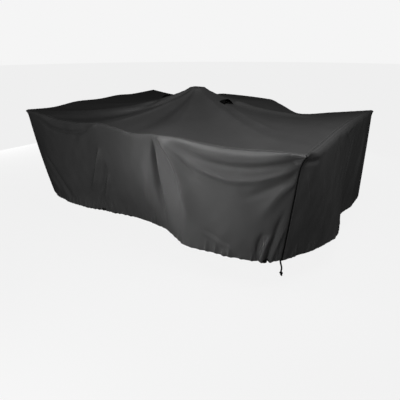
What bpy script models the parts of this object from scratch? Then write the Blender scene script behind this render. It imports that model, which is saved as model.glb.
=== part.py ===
"""A fitted cover of coated cloth, as it hangs over a tall centre and high points round its edge.

Metres, +Z up. The front of the cover faces -Y and its right end faces +X. The origin is the point
under the top where the tall centre holds it, so everything else is lower than that.

The cover is a top panel and four wall panels, sewn along their edges. A panel starts as a flat
grid; each point of the grid is moved to where the cloth hangs, from the tables below, and a
Solidify modifier gives it its thickness, outwards. Two hooded vents sit on the top, and the
drawcord of the hem comes out at the near corner.
"""

import math

import bmesh
import bpy
import numpy as np
from mathutils import Matrix, Vector

# ---------------------------------------------------------------- driving sizes, metres
CLOTH_THICKNESS = 0.003
EDGE_BACK = 0.0003  # each panel stops this far short of a seam
PIECE_GAP = 0.0004  # between two pieces that are fitted one on the other
HALF_LENGTH = 1.35
HALF_WIDTH = 0.90
WALL_DROP = 0.84  # from seam to hem, as the table of folds counts it

CENTRE_X = -0.022  # the tall centre stands a little left of the middle
PLATEAU = 0.046  # share of the way to the seam that lies flat on the tall centre
PLATEAU_EASE = 0.06  # and share over which the folds of the top begin outside it
EDGE_EASE = 0.03  # share of the way over which they end again at the seam
TENT_POWER = 0.62  # 1 is a straight slope from centre to seam, less is steeper near the centre
ROLL_TALL = 1.25  # under the seam a wall rolls over its shoulder, which is this much taller than deep
ROLL_LEAST = 0.008  # and at least this tall
PULL_TALL = 3.0  # a roll below zero is a pull inwards, this much taller than deep
PULL_FROM = 0.012  # which starts this far below the seam
END_EASE = 0.04  # over this distance the folds of a wall die away to its corner seams
SEAM_EASE = 0.02  # and over this share of the drop to the seam of the top
CORNER_REACH = 0.09  # over this distance a wall turns its outward direction to the diagonal
HEM_TURN = 0.022  # the drawcord pulls the last of the hem in by this much
HEM_TURN_FROM = 0.965  # share of the drop where that starts

VENT_ACROSS = 0.150
VENT_DEEP = 0.075
VENT_HIGH = 0.036
VENT_SWEEP = 0.020  # the middle of the open edge lies this far back from its two ends
VENT_BACK_SHARE = 0.40  # width of the closed back of a hood, share of its open side
VENT_RISE = 0.7  # below 1 a hood rises fastest at its back
VENT_CROWN = 2.5  # above 2 a hood is flatter than round across its middle
VENT_CLOTH = 0.002
CORD_DIAMETER = 0.012

# ---------------------------------------------------------------- the seam and the hem
# One row per station, in order round the cover. seam and hem are points; roll pushes the cloth out
# just under the seam, belly pushes it out half way down.
STATION = ("seam_x", "seam_y", "seam_z", "hem_x", "hem_y", "hem_z", "roll", "belly")
FRONT_LEFT = (-1.350, -0.900, -0.201, -1.240, -0.835, -1.042, 0.004, 0.012)
FRONT_RIGHT = (1.350, -0.900, -0.203, 1.211, -0.747, -1.042, -0.040, 0.004)
BACK_RIGHT = (1.342, 0.897, -0.212, 1.366, 0.850, -1.077, 0.004, 0.002)
BACK_LEFT = (-1.350, 0.900, -0.201, -1.245, 0.845, -1.042, 0.004, 0.020)

FRONT = (
    FRONT_LEFT,
    (-1.130, -0.895, -0.222, -1.060, -0.890, -1.042, 0.020, 0.020),
    (-0.930, -0.885, -0.247, -0.880, -0.915, -1.042, 0.034, 0.006),
    (-0.716, -0.890, -0.245, -0.680, -0.900, -1.042, 0.032, 0.004),
    (-0.527, -0.910, -0.229, -0.510, -0.856, -1.042, 0.018, 0.010),
    (-0.322, -0.940, -0.207, -0.330, -0.832, -1.042, 0.006, 0.012),
    (-0.100, -0.930, -0.231, -0.119, -0.802, -1.042, 0.006, 0.010),
    (0.030, -0.930, -0.244, 0.010, -0.800, -1.042, 0.006, 0.008),
    (0.251, -0.950, -0.222, 0.190, -0.822, -1.042, 0.004, 0.008),
    (0.453, -0.915, -0.225, 0.400, -0.905, -1.042, 0.024, 0.004),
    (0.600, -0.900, -0.237, 0.520, -0.957, -1.042, 0.036, 0.000),
    (0.800, -0.893, -0.242, 0.733, -0.924, -1.042, 0.046, 0.004),
    (1.000, -0.892, -0.230, 0.930, -0.893, -1.042, 0.046, 0.010),
    (1.200, -0.897, -0.210, 1.100, -0.835, -1.042, 0.018, 0.014),
    FRONT_RIGHT,
)
RIGHT = (
    FRONT_RIGHT,
    (1.337, -0.700, -0.206, 1.300, -0.575, -1.042, 0.032, 0.010),
    (1.334, -0.450, -0.194, 1.390, -0.370, -1.042, 0.034, 0.000),
    (1.331, -0.200, -0.182, 1.434, -0.168, -1.042, 0.034, -0.020),
    (1.330, 0.050, -0.177, 1.404, 0.010, -1.042, 0.034, -0.016),
    (1.331, 0.300, -0.180, 1.342, 0.220, -1.042, 0.032, 0.000),
    (1.338, 0.600, -0.188, 1.378, 0.520, -1.052, 0.024, 0.000),
    BACK_RIGHT,
)
BACK = (
    BACK_RIGHT,
    (1.000, 0.895, -0.265, 0.960, 0.885, -1.052, 0.030, 0.008),
    (0.660, 0.895, -0.312, 0.640, 0.890, -1.042, 0.030, 0.006),
    (0.440, 0.910, -0.240, 0.425, 0.868, -1.042, 0.016, 0.008),
    (0.300, 0.930, -0.198, 0.290, 0.850, -1.042, 0.006, 0.010),
    (-0.280, 0.930, -0.180, -0.270, 0.850, -1.042, 0.006, 0.010),
    (-0.680, 0.890, -0.254, -0.650, 0.885, -1.042, 0.030, 0.006),
    (-1.060, 0.892, -0.232, -1.000, 0.880, -1.042, 0.024, 0.010),
    BACK_LEFT,
)
LEFT = (
    BACK_LEFT,
    (-1.340, 0.500, -0.208, -1.265, 0.480, -1.042, 0.026, 0.010),
    (-1.350, 0.260, -0.197, -1.285, 0.240, -1.042, 0.020, 0.010),
    (-1.338, -0.030, -0.204, -1.265, -0.020, -1.042, 0.026, 0.006),
    (-1.350, -0.320, -0.195, -1.285, -0.300, -1.042, 0.020, 0.010),
    (-1.340, -0.640, -0.214, -1.262, -0.600, -1.042, 0.026, 0.014),
    FRONT_LEFT,
)

# How far the top sags between the tall centre and the seam, by where its line meets the seam.
SAG = ("seam_x", "seam_y", "sag")
TOP_SAG = (
    (-1.350, -0.900, 0.062),
    (-0.850, -0.890, 0.072),
    (-0.322, -0.940, 0.012),
    (0.000, -0.930, 0.012),
    (0.251, -0.950, 0.012),
    (0.750, -0.890, 0.022),
    (1.350, -0.900, 0.028),
    (1.350, 0.000, 0.078),
    (1.350, 0.500, 0.098),
    (1.350, 0.900, 0.095),
    (0.800, 0.900, 0.060),
    (0.310, 0.930, 0.026),
    (0.000, 0.930, 0.024),
    (-0.280, 0.930, 0.010),
    (-0.800, 0.900, 0.058),
    (-1.350, 0.900, 0.058),
    (-1.350, 0.000, 0.072),
)

# ---------------------------------------------------------------- the folds
# One row per fold: a curve through a start, a middle and an end, its half width at both ends and
# how far it stands out (a ridge) or in (a trough, negative). edge is 2 for a soft fold and nearer
# to 1 for a sharp one. In a wall the points are metres along the seam and metres down from it.
# fade_in is the share of its length over which a fold grows from its start.
FOLD = (
    *("start_s", "start_d", "mid_s", "mid_d", "end_s", "end_d"),
    *("start_wide", "end_wide", "out", "edge", "fade_in"),
)
FOLD_STEPS = 24  # straight steps that a fold's curve is measured with
FOLD_FADE_OUT = 0.35  # share of its length over which a fold dies away to its end
FRONT_FOLDS = (
    # the left half, under the swagged seam and from the left high point
    (0.100, 0.020, 0.520, 0.094, 1.000, 0.030, 0.016, 0.018, -0.020, 2.0, 0.25),
    (1.020, 0.010, 0.820, 0.100, 0.640, 0.260, 0.016, 0.050, 0.012, 2.0, 0.12),
    (0.120, 0.330, 0.330, 0.600, 0.520, 0.810, 0.022, 0.030, -0.018, 1.8, 0.30),
    (0.020, 0.400, 0.160, 0.600, 0.360, 0.780, 0.030, 0.035, 0.010, 2.0, 0.30),
    (0.985, 0.170, 0.925, 0.400, 0.700, 0.750, 0.018, 0.040, 0.040, 1.7, 0.40),
    (1.010, 0.300, 0.965, 0.500, 0.800, 0.740, 0.014, 0.026, -0.022, 1.8, 0.30),
    (1.045, 0.400, 1.010, 0.560, 0.900, 0.780, 0.020, 0.034, 0.028, 1.7, 0.40),
    (1.545, 0.160, 1.500, 0.380, 1.430, 0.760, 0.034, 0.055, 0.012, 2.0, 0.50),
    # the fan of folds from the right high point
    (1.600, 0.000, 1.612, 0.370, 1.705, 0.820, 0.008, 0.044, -0.036, 1.5, 0.25),
    (1.605, 0.360, 1.640, 0.570, 1.700, 0.800, 0.007, 0.012, 0.006, 1.6, 0.30),
    (1.625, 0.000, 1.850, 0.230, 2.010, 0.700, 0.016, 0.090, 0.054, 1.7, 0.22),
    (1.660, 0.010, 1.880, 0.160, 2.090, 0.290, 0.010, 0.022, -0.012, 1.8, 0.15),
    # swags between the right high point and the near corner
    (2.720, 0.055, 2.250, 0.205, 1.700, 0.030, 0.018, 0.024, 0.011, 2.0, 0.12),
    (2.730, 0.022, 2.280, 0.110, 1.780, 0.050, 0.011, 0.024, -0.017, 1.8, 0.06),
    (2.700, 0.120, 2.530, 0.235, 2.300, 0.360, 0.016, 0.040, -0.010, 2.0, 0.15),
    (2.700, 0.180, 2.590, 0.290, 2.490, 0.500, 0.018, 0.045, 0.014, 2.0, 0.15),
    # gathers at the near corner
    (2.520, 0.900, 2.508, 0.700, 2.550, 0.560, 0.018, 0.016, -0.020, 1.8, 0.10),
    (2.555, 0.900, 2.568, 0.700, 2.620, 0.540, 0.016, 0.018, 0.016, 1.8, 0.10),
    (2.590, 0.900, 2.612, 0.620, 2.660, 0.360, 0.016, 0.020, -0.020, 1.8, 0.10),
    (2.625, 0.900, 2.645, 0.680, 2.690, 0.500, 0.014, 0.018, 0.012, 1.8, 0.10),
)
RIGHT_FOLDS = (
    (0.030, 0.060, 0.120, 0.065, 0.240, 0.075, 0.012, 0.016, -0.010, 2.0, 0.20),
    (0.640, 0.070, 0.730, 0.210, 0.800, 0.330, 0.010, 0.014, -0.008, 1.8, 0.30),
    (0.500, 0.200, 0.510, 0.400, 0.530, 0.660, 0.018, 0.026, 0.008, 2.0, 0.40),
    (0.090, 0.140, 0.130, 0.250, 0.170, 0.380, 0.010, 0.012, 0.005, 1.8, 0.30),
    (0.330, 0.200, 0.370, 0.460, 0.430, 0.800, 0.024, 0.040, 0.010, 2.0, 0.40),
    (1.120, 0.060, 1.080, 0.300, 1.000, 0.700, 0.024, 0.050, -0.016, 2.0, 0.30),
    (1.500, 0.100, 1.470, 0.400, 1.400, 0.780, 0.024, 0.050, 0.014, 2.0, 0.30),
)
BACK_FOLDS = (
    (1.030, 0.000, 0.900, 0.250, 0.700, 0.700, 0.014, 0.050, 0.022, 1.6, 0.12),
    (1.060, 0.000, 1.060, 0.330, 1.000, 0.780, 0.012, 0.044, -0.020, 1.6, 0.12),
    (1.640, 0.000, 1.660, 0.330, 1.760, 0.780, 0.012, 0.044, -0.020, 1.6, 0.12),
    (1.660, 0.000, 1.880, 0.260, 2.060, 0.680, 0.014, 0.050, 0.020, 1.6, 0.12),
    (0.080, 0.060, 0.520, 0.220, 1.000, 0.040, 0.030, 0.030, -0.016, 2.0, 0.12),
    (1.740, 0.060, 2.180, 0.200, 2.620, 0.060, 0.030, 0.030, -0.016, 2.0, 0.12),
    (0.260, 0.350, 0.300, 0.560, 0.420, 0.810, 0.024, 0.040, 0.014, 1.8, 0.12),
    (2.440, 0.330, 2.400, 0.560, 2.300, 0.810, 0.024, 0.040, 0.014, 1.8, 0.12),
)
LEFT_FOLDS = (
    (0.560, 0.020, 0.500, 0.330, 0.420, 0.780, 0.016, 0.046, 0.016, 1.7, 0.12),
    (0.640, 0.010, 0.680, 0.320, 0.720, 0.780, 0.016, 0.046, -0.018, 1.7, 0.12),
    (1.220, 0.010, 1.160, 0.320, 1.100, 0.780, 0.016, 0.046, -0.018, 1.7, 0.12),
    (1.250, 0.020, 1.310, 0.330, 1.420, 0.780, 0.016, 0.046, 0.016, 1.7, 0.12),
)
# In the top the points are x and y, and out is up.
TOP_FOLDS = (
    # from the left vent to the left high point, and leftwards
    (-0.100, -0.200, -0.160, -0.580, -0.270, -0.930, 0.010, 0.018, 0.009, 1.6, 0.20),
    (-0.170, -0.220, -0.290, -0.520, -0.460, -0.880, 0.020, 0.034, -0.012, 1.8, 0.20),
    (-0.200, -0.160, -0.400, -0.310, -0.800, -0.560, 0.012, 0.024, 0.010, 1.6, 0.20),
    (-0.300, -0.160, -0.480, -0.390, -0.900, -0.720, 0.016, 0.050, -0.014, 1.7, 0.20),
    (-0.360, -0.020, -0.700, -0.140, -1.200, -0.260, 0.016, 0.060, 0.014, 1.8, 0.15),
    # from the right vent to the right end
    (0.290, 0.085, 0.600, 0.220, 1.100, 0.320, 0.014, 0.045, 0.032, 1.5, 0.12),
    (0.360, 0.190, 0.700, 0.360, 1.150, 0.500, 0.040, 0.100, -0.034, 2.0, 0.15),
    (0.320, 0.040, 0.560, 0.110, 0.950, 0.120, 0.009, 0.022, -0.009, 1.5, 0.15),
    (0.330, -0.120, 0.600, -0.345, 0.950, -0.560, 0.010, 0.034, -0.013, 1.6, 0.15),
    (0.340, -0.070, 0.680, -0.310, 1.050, -0.520, 0.010, 0.040, 0.013, 1.6, 0.15),
    # the slope towards the right high point
    (0.000, -0.120, 0.150, -0.400, 0.280, -0.800, 0.010, 0.026, 0.006, 1.6, 0.20),
    # the far slope, between the two far high points
    (-0.020, 0.100, 0.000, 0.480, 0.010, 0.900, 0.030, 0.060, -0.014, 2.0, 0.12),
)

# Where the columns of a wall's grid stand, in metres along the seam, at the seam and at the hem.
# They lean with the folds, so that a fold runs along a column and not across many.
LAYOUT = ("column", "at_seam", "at_hem")
FRONT_LAYOUT = (
    (0, 0.000, 0.000),
    (14, 0.680, 0.520),
    (22, 1.000, 0.760),
    (30, 1.100, 1.060),
    (37, 1.480, 1.400),
    (42, 1.600, 1.620),
    (62, 1.770, 2.300),
    (78, 2.720, 2.720),
)
RIGHT_LAYOUT = ((0, 0.00, 0.00), (13, 0.68, 0.54), (34, 1.80, 1.80))
BACK_LAYOUT = (
    (0, 0.00, 0.00),
    (10, 0.92, 0.64),
    (15, 1.08, 1.02),
    (19, 1.62, 1.68),
    (24, 1.78, 2.06),
    (34, 2.70, 2.70),
)
LEFT_LAYOUT = ((0, 0.0, 0.0), (22, 1.8, 1.8))
LEAN_POWER = 0.6  # below 1 a column does most of its leaning near the seam

TOP_CELLS = (42, 26)
WALL_ROWS = 15
ROWS_EVEN = 0.32  # this share of the rows' places is even, and the rest crowds to the seam
ROWS_CROWD = 1.7

# The vents: the middle of the open side on the top, and which way along X it faces.
VENT = ("name", "x", "y", "facing")
VENTS = (("vent_right", 0.352, -0.052, 1.0), ("vent_left", -0.400, 0.000, -1.0))
VENT_CELLS = (12, 7)
RAY_START = 0.4  # rays that look for the cloth start this far outside it

# The free end of the drawcord, from the hem of the near corner down to its knot.
CORD = ("x", "y", "z", "swell")
CORD_END = (
    (1.1964, -0.7330, -1.0441, 1.0),
    (1.2000, -0.7360, -1.0560, 1.0),
    (1.2090, -0.7430, -1.0700, 1.0),
    (1.2160, -0.7465, -1.0850, 1.0),
    (1.2170, -0.7470, -1.1010, 1.0),
    (1.2140, -0.7460, -1.1170, 1.0),
    (1.2130, -0.7460, -1.1250, 1.2),
    (1.2140, -0.7460, -1.1310, 2.0),
    (1.2160, -0.7460, -1.1380, 2.0),
    (1.2180, -0.7465, -1.1440, 1.2),
    (1.2220, -0.7470, -1.1530, 0.9),
)
CORD_STEPS = 3  # points of the cord between two rows

# Knots of the drawcord that lie on the front hem: metres along the seam, and share of the drop.
HEM_KNOT = ("name", "travel", "drop")
HEM_KNOTS = (("hem_knot_left", 0.870, 0.972), ("hem_knot_right", 2.570, 0.972))
HEM_KNOT_SIZE = (0.034, 0.017, 0.024)  # along the hem, out of it, up
SEATING_STEPS = 4  # a knot is pushed to the cloth this many times, each by the gap still left


# ---------------------------------------------------------------- curves through the tables


def column(table, names, name):
    return np.array([row[names.index(name)] for row in table])


def smooth_through(knots, values, at):
    """A curve through every value that never overshoots between two of them."""
    knots = np.asarray(knots, float)
    values = np.asarray(values, float)
    gap = np.diff(knots)
    slope = np.diff(values) / gap
    tangent = np.empty_like(values)
    tangent[0] = slope[0]
    tangent[-1] = slope[-1]
    same_way = slope[:-1] * slope[1:] > 0
    weight_a = 2 * gap[1:] + gap[:-1]
    weight_b = gap[1:] + 2 * gap[:-1]
    with np.errstate(divide="ignore", invalid="ignore"):
        mean = (weight_a + weight_b) / (weight_a / slope[:-1] + weight_b / slope[1:])
    tangent[1:-1] = np.where(same_way, mean, 0.0)
    cell = np.clip(np.searchsorted(knots, at) - 1, 0, len(gap) - 1)
    t = np.clip((at - knots[cell]) / gap[cell], 0.0, 1.0)
    rise = values[cell + 1] - values[cell]
    bend_a = tangent[cell] * gap[cell]
    bend_b = tangent[cell + 1] * gap[cell]
    cubic = bend_a + bend_b - 2 * rise
    square = 3 * rise - 2 * bend_a - bend_b
    return values[cell] + t * (bend_a + t * (square + t * cubic))


def seam_travel(table):
    """Distance round the seam of each station, in plan."""
    x = column(table, STATION, "seam_x")
    y = column(table, STATION, "seam_y")
    return np.concatenate([[0.0], np.cumsum(np.hypot(np.diff(x), np.diff(y)))])


def fold_height(folds, s, d):
    """How far all the folds together move the cloth at the points (s, d)."""
    total = np.zeros(np.shape(s))
    t = np.linspace(0, 1, FOLD_STEPS + 1)
    shares = (1 - t) * (1 - 2 * t), 4 * t * (1 - t), t * (2 * t - 1)
    for row in folds:
        fold = dict(zip(FOLD, row))
        path_s = sum(share * fold[name] for share, name in zip(shares, ("start_s", "mid_s", "end_s")))
        path_d = sum(share * fold[name] for share, name in zip(shares, ("start_d", "mid_d", "end_d")))
        step_s, step_d = np.diff(path_s), np.diff(path_d)
        from_s, from_d = s[..., None] - path_s[:-1], d[..., None] - path_d[:-1]
        along = np.clip((from_s * step_s + from_d * step_d) / (step_s**2 + step_d**2), 0, 1)
        away = np.hypot(from_s - along * step_s, from_d - along * step_d)
        nearest = np.argmin(away, axis=-1)[..., None]
        away = np.take_along_axis(away, nearest, -1)[..., 0]
        along = (nearest + np.take_along_axis(along, nearest, -1))[..., 0] / FOLD_STEPS
        wide = fold["start_wide"] + (fold["end_wide"] - fold["start_wide"]) * along
        fade = np.minimum(1.0, along / fold["fade_in"]) * np.minimum(1.0, (1 - along) / FOLD_FADE_OUT)
        fade = fade * fade * (3 - 2 * fade)
        total += fold["out"] * fade * np.exp(-((away / wide) ** fold["edge"]))
    return total


# ---------------------------------------------------------------- where the cloth hangs


def wall_surface(table, folds, outward, travel, drop):
    """Points of a wall. travel is metres along the seam, drop 0 at the seam and 1 at the hem."""
    knots = seam_travel(table)
    at = {name: smooth_through(knots, column(table, STATION, name), travel) for name in STATION}
    seam = np.stack([at["seam_x"], at["seam_y"], at["seam_z"]], axis=-1)
    hem = np.stack([at["hem_x"], at["hem_y"], at["hem_z"]], axis=-1)
    along = np.array([-outward[1], outward[0]])
    near_start = np.exp(-travel / CORNER_REACH)
    near_end = np.exp(-(knots[-1] - travel) / CORNER_REACH)
    plan = outward + (near_end - near_start)[..., None] * along
    plan /= np.linalg.norm(plan, axis=-1, keepdims=True)
    outwards = at["roll"] > 0
    tall = np.where(outwards, ROLL_TALL, PULL_TALL) * np.abs(at["roll"]) + ROLL_LEAST
    start = np.where(outwards, 0.0, PULL_FROM)
    bent = 1 - (1 - np.clip((drop * WALL_DROP - start) / tall, 0, 1)) ** 2
    roll = at["roll"] * np.where(outwards, np.sqrt(bent), bent) * (1 - drop)
    belly = at["belly"] * 4 * drop * (1 - drop)
    in_from_ends = np.clip(np.minimum(travel, knots[-1] - travel) / END_EASE, 0.0, 1.0)
    in_from_seam = np.clip(drop / SEAM_EASE, 0.0, 1.0)
    folded = fold_height(folds, travel, drop * WALL_DROP) * in_from_ends * in_from_seam
    turned = HEM_TURN * (np.clip((drop - HEM_TURN_FROM) / (1 - HEM_TURN_FROM), 0, 1)) ** 2
    points = seam + (hem - seam) * drop[..., None]
    points[..., :2] += plan * (roll + belly + folded - turned)[..., None]
    return points


def top_edge(a, b):
    """The seam at the edge point (a, b) of the top's square, and the sag towards it."""
    found = {name: np.zeros_like(a) for name in ("x", "y", "z")}
    for table, on_side, share in (
        (FRONT, b <= -1 + 1e-9, (a + 1) / 2),
        (RIGHT, a >= 1 - 1e-9, (b + 1) / 2),
        (BACK, b >= 1 - 1e-9, (1 - a) / 2),
        (LEFT, a <= -1 + 1e-9, (1 - b) / 2),
    ):
        knots = seam_travel(table)
        travel = np.clip(share, 0, 1) * knots[-1]
        for name in ("x", "y", "z"):
            values = smooth_through(knots, column(table, STATION, "seam_" + name), travel)
            found[name] = np.where(on_side, values, found[name])
    turn = np.arctan2(found["y"] / HALF_WIDTH, found["x"] / HALF_LENGTH)
    found["sag"] = smooth_through(*sag_by_turn(), turn)
    return found


def sag_by_turn():
    """The sag table by angle round the centre, with one row more at each end so that it joins up."""
    turn = np.arctan2(
        column(TOP_SAG, SAG, "seam_y") / HALF_WIDTH,
        column(TOP_SAG, SAG, "seam_x") / HALF_LENGTH,
    )
    order = np.argsort(turn)
    turn = turn[order]
    sag = column(TOP_SAG, SAG, "sag")[order]
    turn = np.concatenate([[turn[-1] - 2 * math.pi], turn, [turn[0] + 2 * math.pi]])
    return turn, np.concatenate([[sag[-1]], sag, [sag[0]]])


def top_surface(a, b):
    """Points of the top. (a, b) runs over a square of side 2, with the tall centre in its middle."""
    ring = np.maximum(np.abs(a), np.abs(b))
    safe = np.maximum(ring, 1e-9)
    edge = top_edge(a / safe, b / safe)
    out = np.clip((ring - PLATEAU) / (1 - PLATEAU), 0.0, 1.0)
    x = CENTRE_X + (edge["x"] - CENTRE_X) * ring
    y = edge["y"] * ring
    z = edge["z"] * out**TENT_POWER - edge["sag"] * np.sin(math.pi * out)
    inside = np.clip((1 - ring) / EDGE_EASE, 0, 1) * np.clip((ring - PLATEAU) / PLATEAU_EASE, 0, 1)
    z += fold_height(TOP_FOLDS, x, y) * inside
    return np.stack([x, y, z], axis=-1)


# ---------------------------------------------------------------- scene helpers


def clear_scene():
    for old in list(bpy.data.objects):
        bpy.data.objects.remove(old, do_unlink=True)


def new_collection(name):
    made = bpy.data.collections.new(name)
    bpy.context.scene.collection.children.link(made)
    return made


def plain_material(name, colour, roughness):
    made = bpy.data.materials.new(name)
    made.use_nodes = True
    shader = made.node_tree.nodes["Principled BSDF"]
    shader.inputs["Base Color"].default_value = (*colour, 1.0)
    shader.inputs["Roughness"].default_value = roughness
    return made


def sheet(name, across, down, place, thickness, material, collection):
    """A grid of across x down cells, moved into place by place(u, v) and thickened outwards."""
    shape = bmesh.new()
    bmesh.ops.create_grid(shape, x_segments=across, y_segments=down, size=0.5)
    flat = np.array([vertex.co[:2] for vertex in shape.verts]) + 0.5
    for vertex, point in zip(shape.verts, place(flat[:, 0], flat[:, 1])):
        vertex.co = point
    mesh = bpy.data.meshes.new(name)
    shape.to_mesh(mesh)
    shape.free()
    made = bpy.data.objects.new(name, mesh)
    collection.objects.link(made)
    made.data.materials.append(material)
    for face in made.data.polygons:
        face.use_smooth = True
    thick = made.modifiers.new("cloth thickness", "SOLIDIFY")
    thick.thickness = thickness
    thick.offset = 1.0
    thick.use_even_offset = True
    return made


# ---------------------------------------------------------------- the panels


def wall_rows():
    """Rows of a wall, close together just under the seam and at the hem."""
    t = np.linspace(0, 1, WALL_ROWS + 1)
    rows = ROWS_EVEN * t + (1 - ROWS_EVEN) * t**ROWS_CROWD
    rows[-2] = HEM_TURN_FROM
    return rows


def seam_between_top_columns(table, cells, travel):
    """The seam as the top panel has it: straight from one of its columns to the next."""
    knots = seam_travel(table)
    at = np.linspace(0, 1, cells + 1) * knots[-1]
    corners = [smooth_through(knots, column(table, STATION, name), at) for name in STATION[:3]]
    return np.stack([np.interp(travel, at, values) for values in corners], axis=-1)


def wall_panel(name, table, folds, layout, outward, top_cells, material, collection):
    length = seam_travel(table)[-1]
    outward = np.array(outward, float)
    columns = layout[-1][0]
    stand = column(layout, LAYOUT, "column")
    at_seam, at_hem = (
        EDGE_BACK + smooth_through(stand, column(layout, LAYOUT, end), np.arange(columns + 1))
        * (length - 2 * EDGE_BACK) / layout[-1][1]
        for end in ("at_seam", "at_hem")
    )
    rows = wall_rows()

    def place(u, v):
        stands = np.rint(u * columns).astype(int)
        row = np.rint((1 - v) * WALL_ROWS).astype(int)
        lean = (at_hem - at_seam)[stands] * rows[row] ** LEAN_POWER
        points = wall_surface(table, folds, outward, at_seam[stands] + lean, rows[row])
        on_seam = seam_between_top_columns(table, top_cells, at_seam[stands])
        on_seam[:, 2] -= EDGE_BACK
        return np.where((row == 0)[:, None], on_seam, points)

    return sheet(name, columns, WALL_ROWS, place, CLOTH_THICKNESS, material, collection)


def top_panel(name, material, collection):
    def place(u, v):
        a = 2 * np.rint(u * TOP_CELLS[0]) / TOP_CELLS[0] - 1
        b = 2 * np.rint(v * TOP_CELLS[1]) / TOP_CELLS[1] - 1
        points = top_surface(a, b)
        points[:, 0] -= np.trunc(a) * EDGE_BACK
        points[:, 1] -= np.trunc(b) * EDGE_BACK
        return points

    return sheet(name, *TOP_CELLS, place, CLOTH_THICKNESS, material, collection)


# ---------------------------------------------------------------- vents, cord and knots


def stands_out(surface, point, out, reach_a, reach_b):
    """How far an object's outer face stands out beyond a point, where it stands out most near it."""
    evaluated = surface.evaluated_get(bpy.context.evaluated_depsgraph_get())
    furthest = 0.0
    for i in (-1, 0, 1):
        for j in (-1, 0, 1):
            start = point + out * RAY_START + i * reach_a + j * reach_b
            hit, where, _, _ = evaluated.ray_cast(start, -out)
            if hit:
                furthest = max(furthest, (where - point).dot(out))
    return furthest


def vent_hood(name, x, y, facing, top, material, collection):
    """A low half dome on the top, shut at its back and open on the side that it faces."""
    reach = VENT_ACROSS / VENT_CELLS[0] / 4
    step_x, step_y = Vector((reach, 0, 0)), Vector((0, reach, 0))

    def ground(at_x, at_y):
        low = Vector((at_x, at_y, -RAY_START))
        return low.z + stands_out(top, low, Vector((0, 0, 1)), step_x, step_y)

    def place(u, v):
        across = 2 * u - 1
        forward = v if facing > 0 else 1 - v
        bow = np.sqrt(1 - (1 - forward) ** 2)
        half = VENT_ACROSS / 2 * (VENT_BACK_SHARE + (1 - VENT_BACK_SHARE) * bow)
        swept = VENT_SWEEP * (1 - across**2) * forward
        at_x = x - facing * (VENT_DEEP * (1 - forward) + swept)
        at_y = y + across * half
        rise = VENT_HIGH * forward**VENT_RISE * (1 - np.abs(across) ** VENT_CROWN)
        below = np.array([ground(*point) for point in zip(at_x, at_y)])
        return np.stack([at_x, at_y, below + 2 * PIECE_GAP + rise], axis=-1)

    return sheet(name, *VENT_CELLS, place, VENT_CLOTH, material, collection)


def cord_end(name, material, collection):
    """A round cord through the rows of its table, with the knot as a swelling of it."""
    knots = np.arange(len(CORD_END))
    at = np.linspace(0, len(CORD_END) - 1, (len(CORD_END) - 1) * CORD_STEPS + 1)
    rows = np.stack([smooth_through(knots, column(CORD_END, CORD, key), at) for key in CORD], axis=-1)
    shape = bpy.data.curves.new(name, "CURVE")
    shape.dimensions = "3D"
    shape.bevel_depth = CORD_DIAMETER / 2
    shape.bevel_resolution = 2
    shape.use_fill_caps = True
    line = shape.splines.new("POLY")
    line.points.add(len(rows) - 1)
    for point, (x, y, z, swell) in zip(line.points, rows):
        point.co = (x, y, z, 1.0)
        point.radius = swell
    made = bpy.data.objects.new(name, shape)
    made.data.materials.append(material)
    collection.objects.link(made)
    return made


def hem_knot(name, travel, drop, front, material, collection):
    """A small round knot that lies against the outside of the front hem."""
    along, through, high = HEM_KNOT_SIZE
    beside = travel + along / 2 * np.array([-1, 0, 1])
    outward = np.array((0.0, -1.0))
    before, middle, after = wall_surface(FRONT, FRONT_FOLDS, outward, beside, np.full(3, drop))
    turn = math.atan2(after[1] - before[1], after[0] - before[0])
    out = Vector((math.sin(turn), -math.cos(turn), 0))
    reach_along, reach_up = out.cross(Vector((0, 0, -along / 2))), Vector((0, 0, high / 2))
    off = stands_out(front, Vector(middle), out, reach_along, reach_up) + PIECE_GAP + through / 2
    centre = Vector(middle) + off * out
    cloth = front.evaluated_get(bpy.context.evaluated_depsgraph_get())
    shape = bmesh.new()
    bmesh.ops.create_uvsphere(shape, u_segments=14, v_segments=8, radius=0.5)
    bmesh.ops.scale(shape, vec=HEM_KNOT_SIZE, verts=shape.verts)
    bmesh.ops.rotate(shape, cent=(0, 0, 0), matrix=Matrix.Rotation(turn, 3, "Z"), verts=shape.verts)
    bmesh.ops.translate(shape, vec=centre, verts=shape.verts)
    for _ in range(SEATING_STEPS):
        nearest = [cloth.closest_point_on_mesh(vertex.co)[1] for vertex in shape.verts]
        clear = min((vertex.co - point).length for vertex, point in zip(shape.verts, nearest))
        bmesh.ops.translate(shape, vec=(PIECE_GAP - clear) * out, verts=shape.verts)
    mesh = bpy.data.meshes.new(name)
    shape.to_mesh(mesh)
    shape.free()
    made = bpy.data.objects.new(name, mesh)
    made.data.materials.append(material)
    for face in mesh.polygons:
        face.use_smooth = True
    collection.objects.link(made)
    return made


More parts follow.
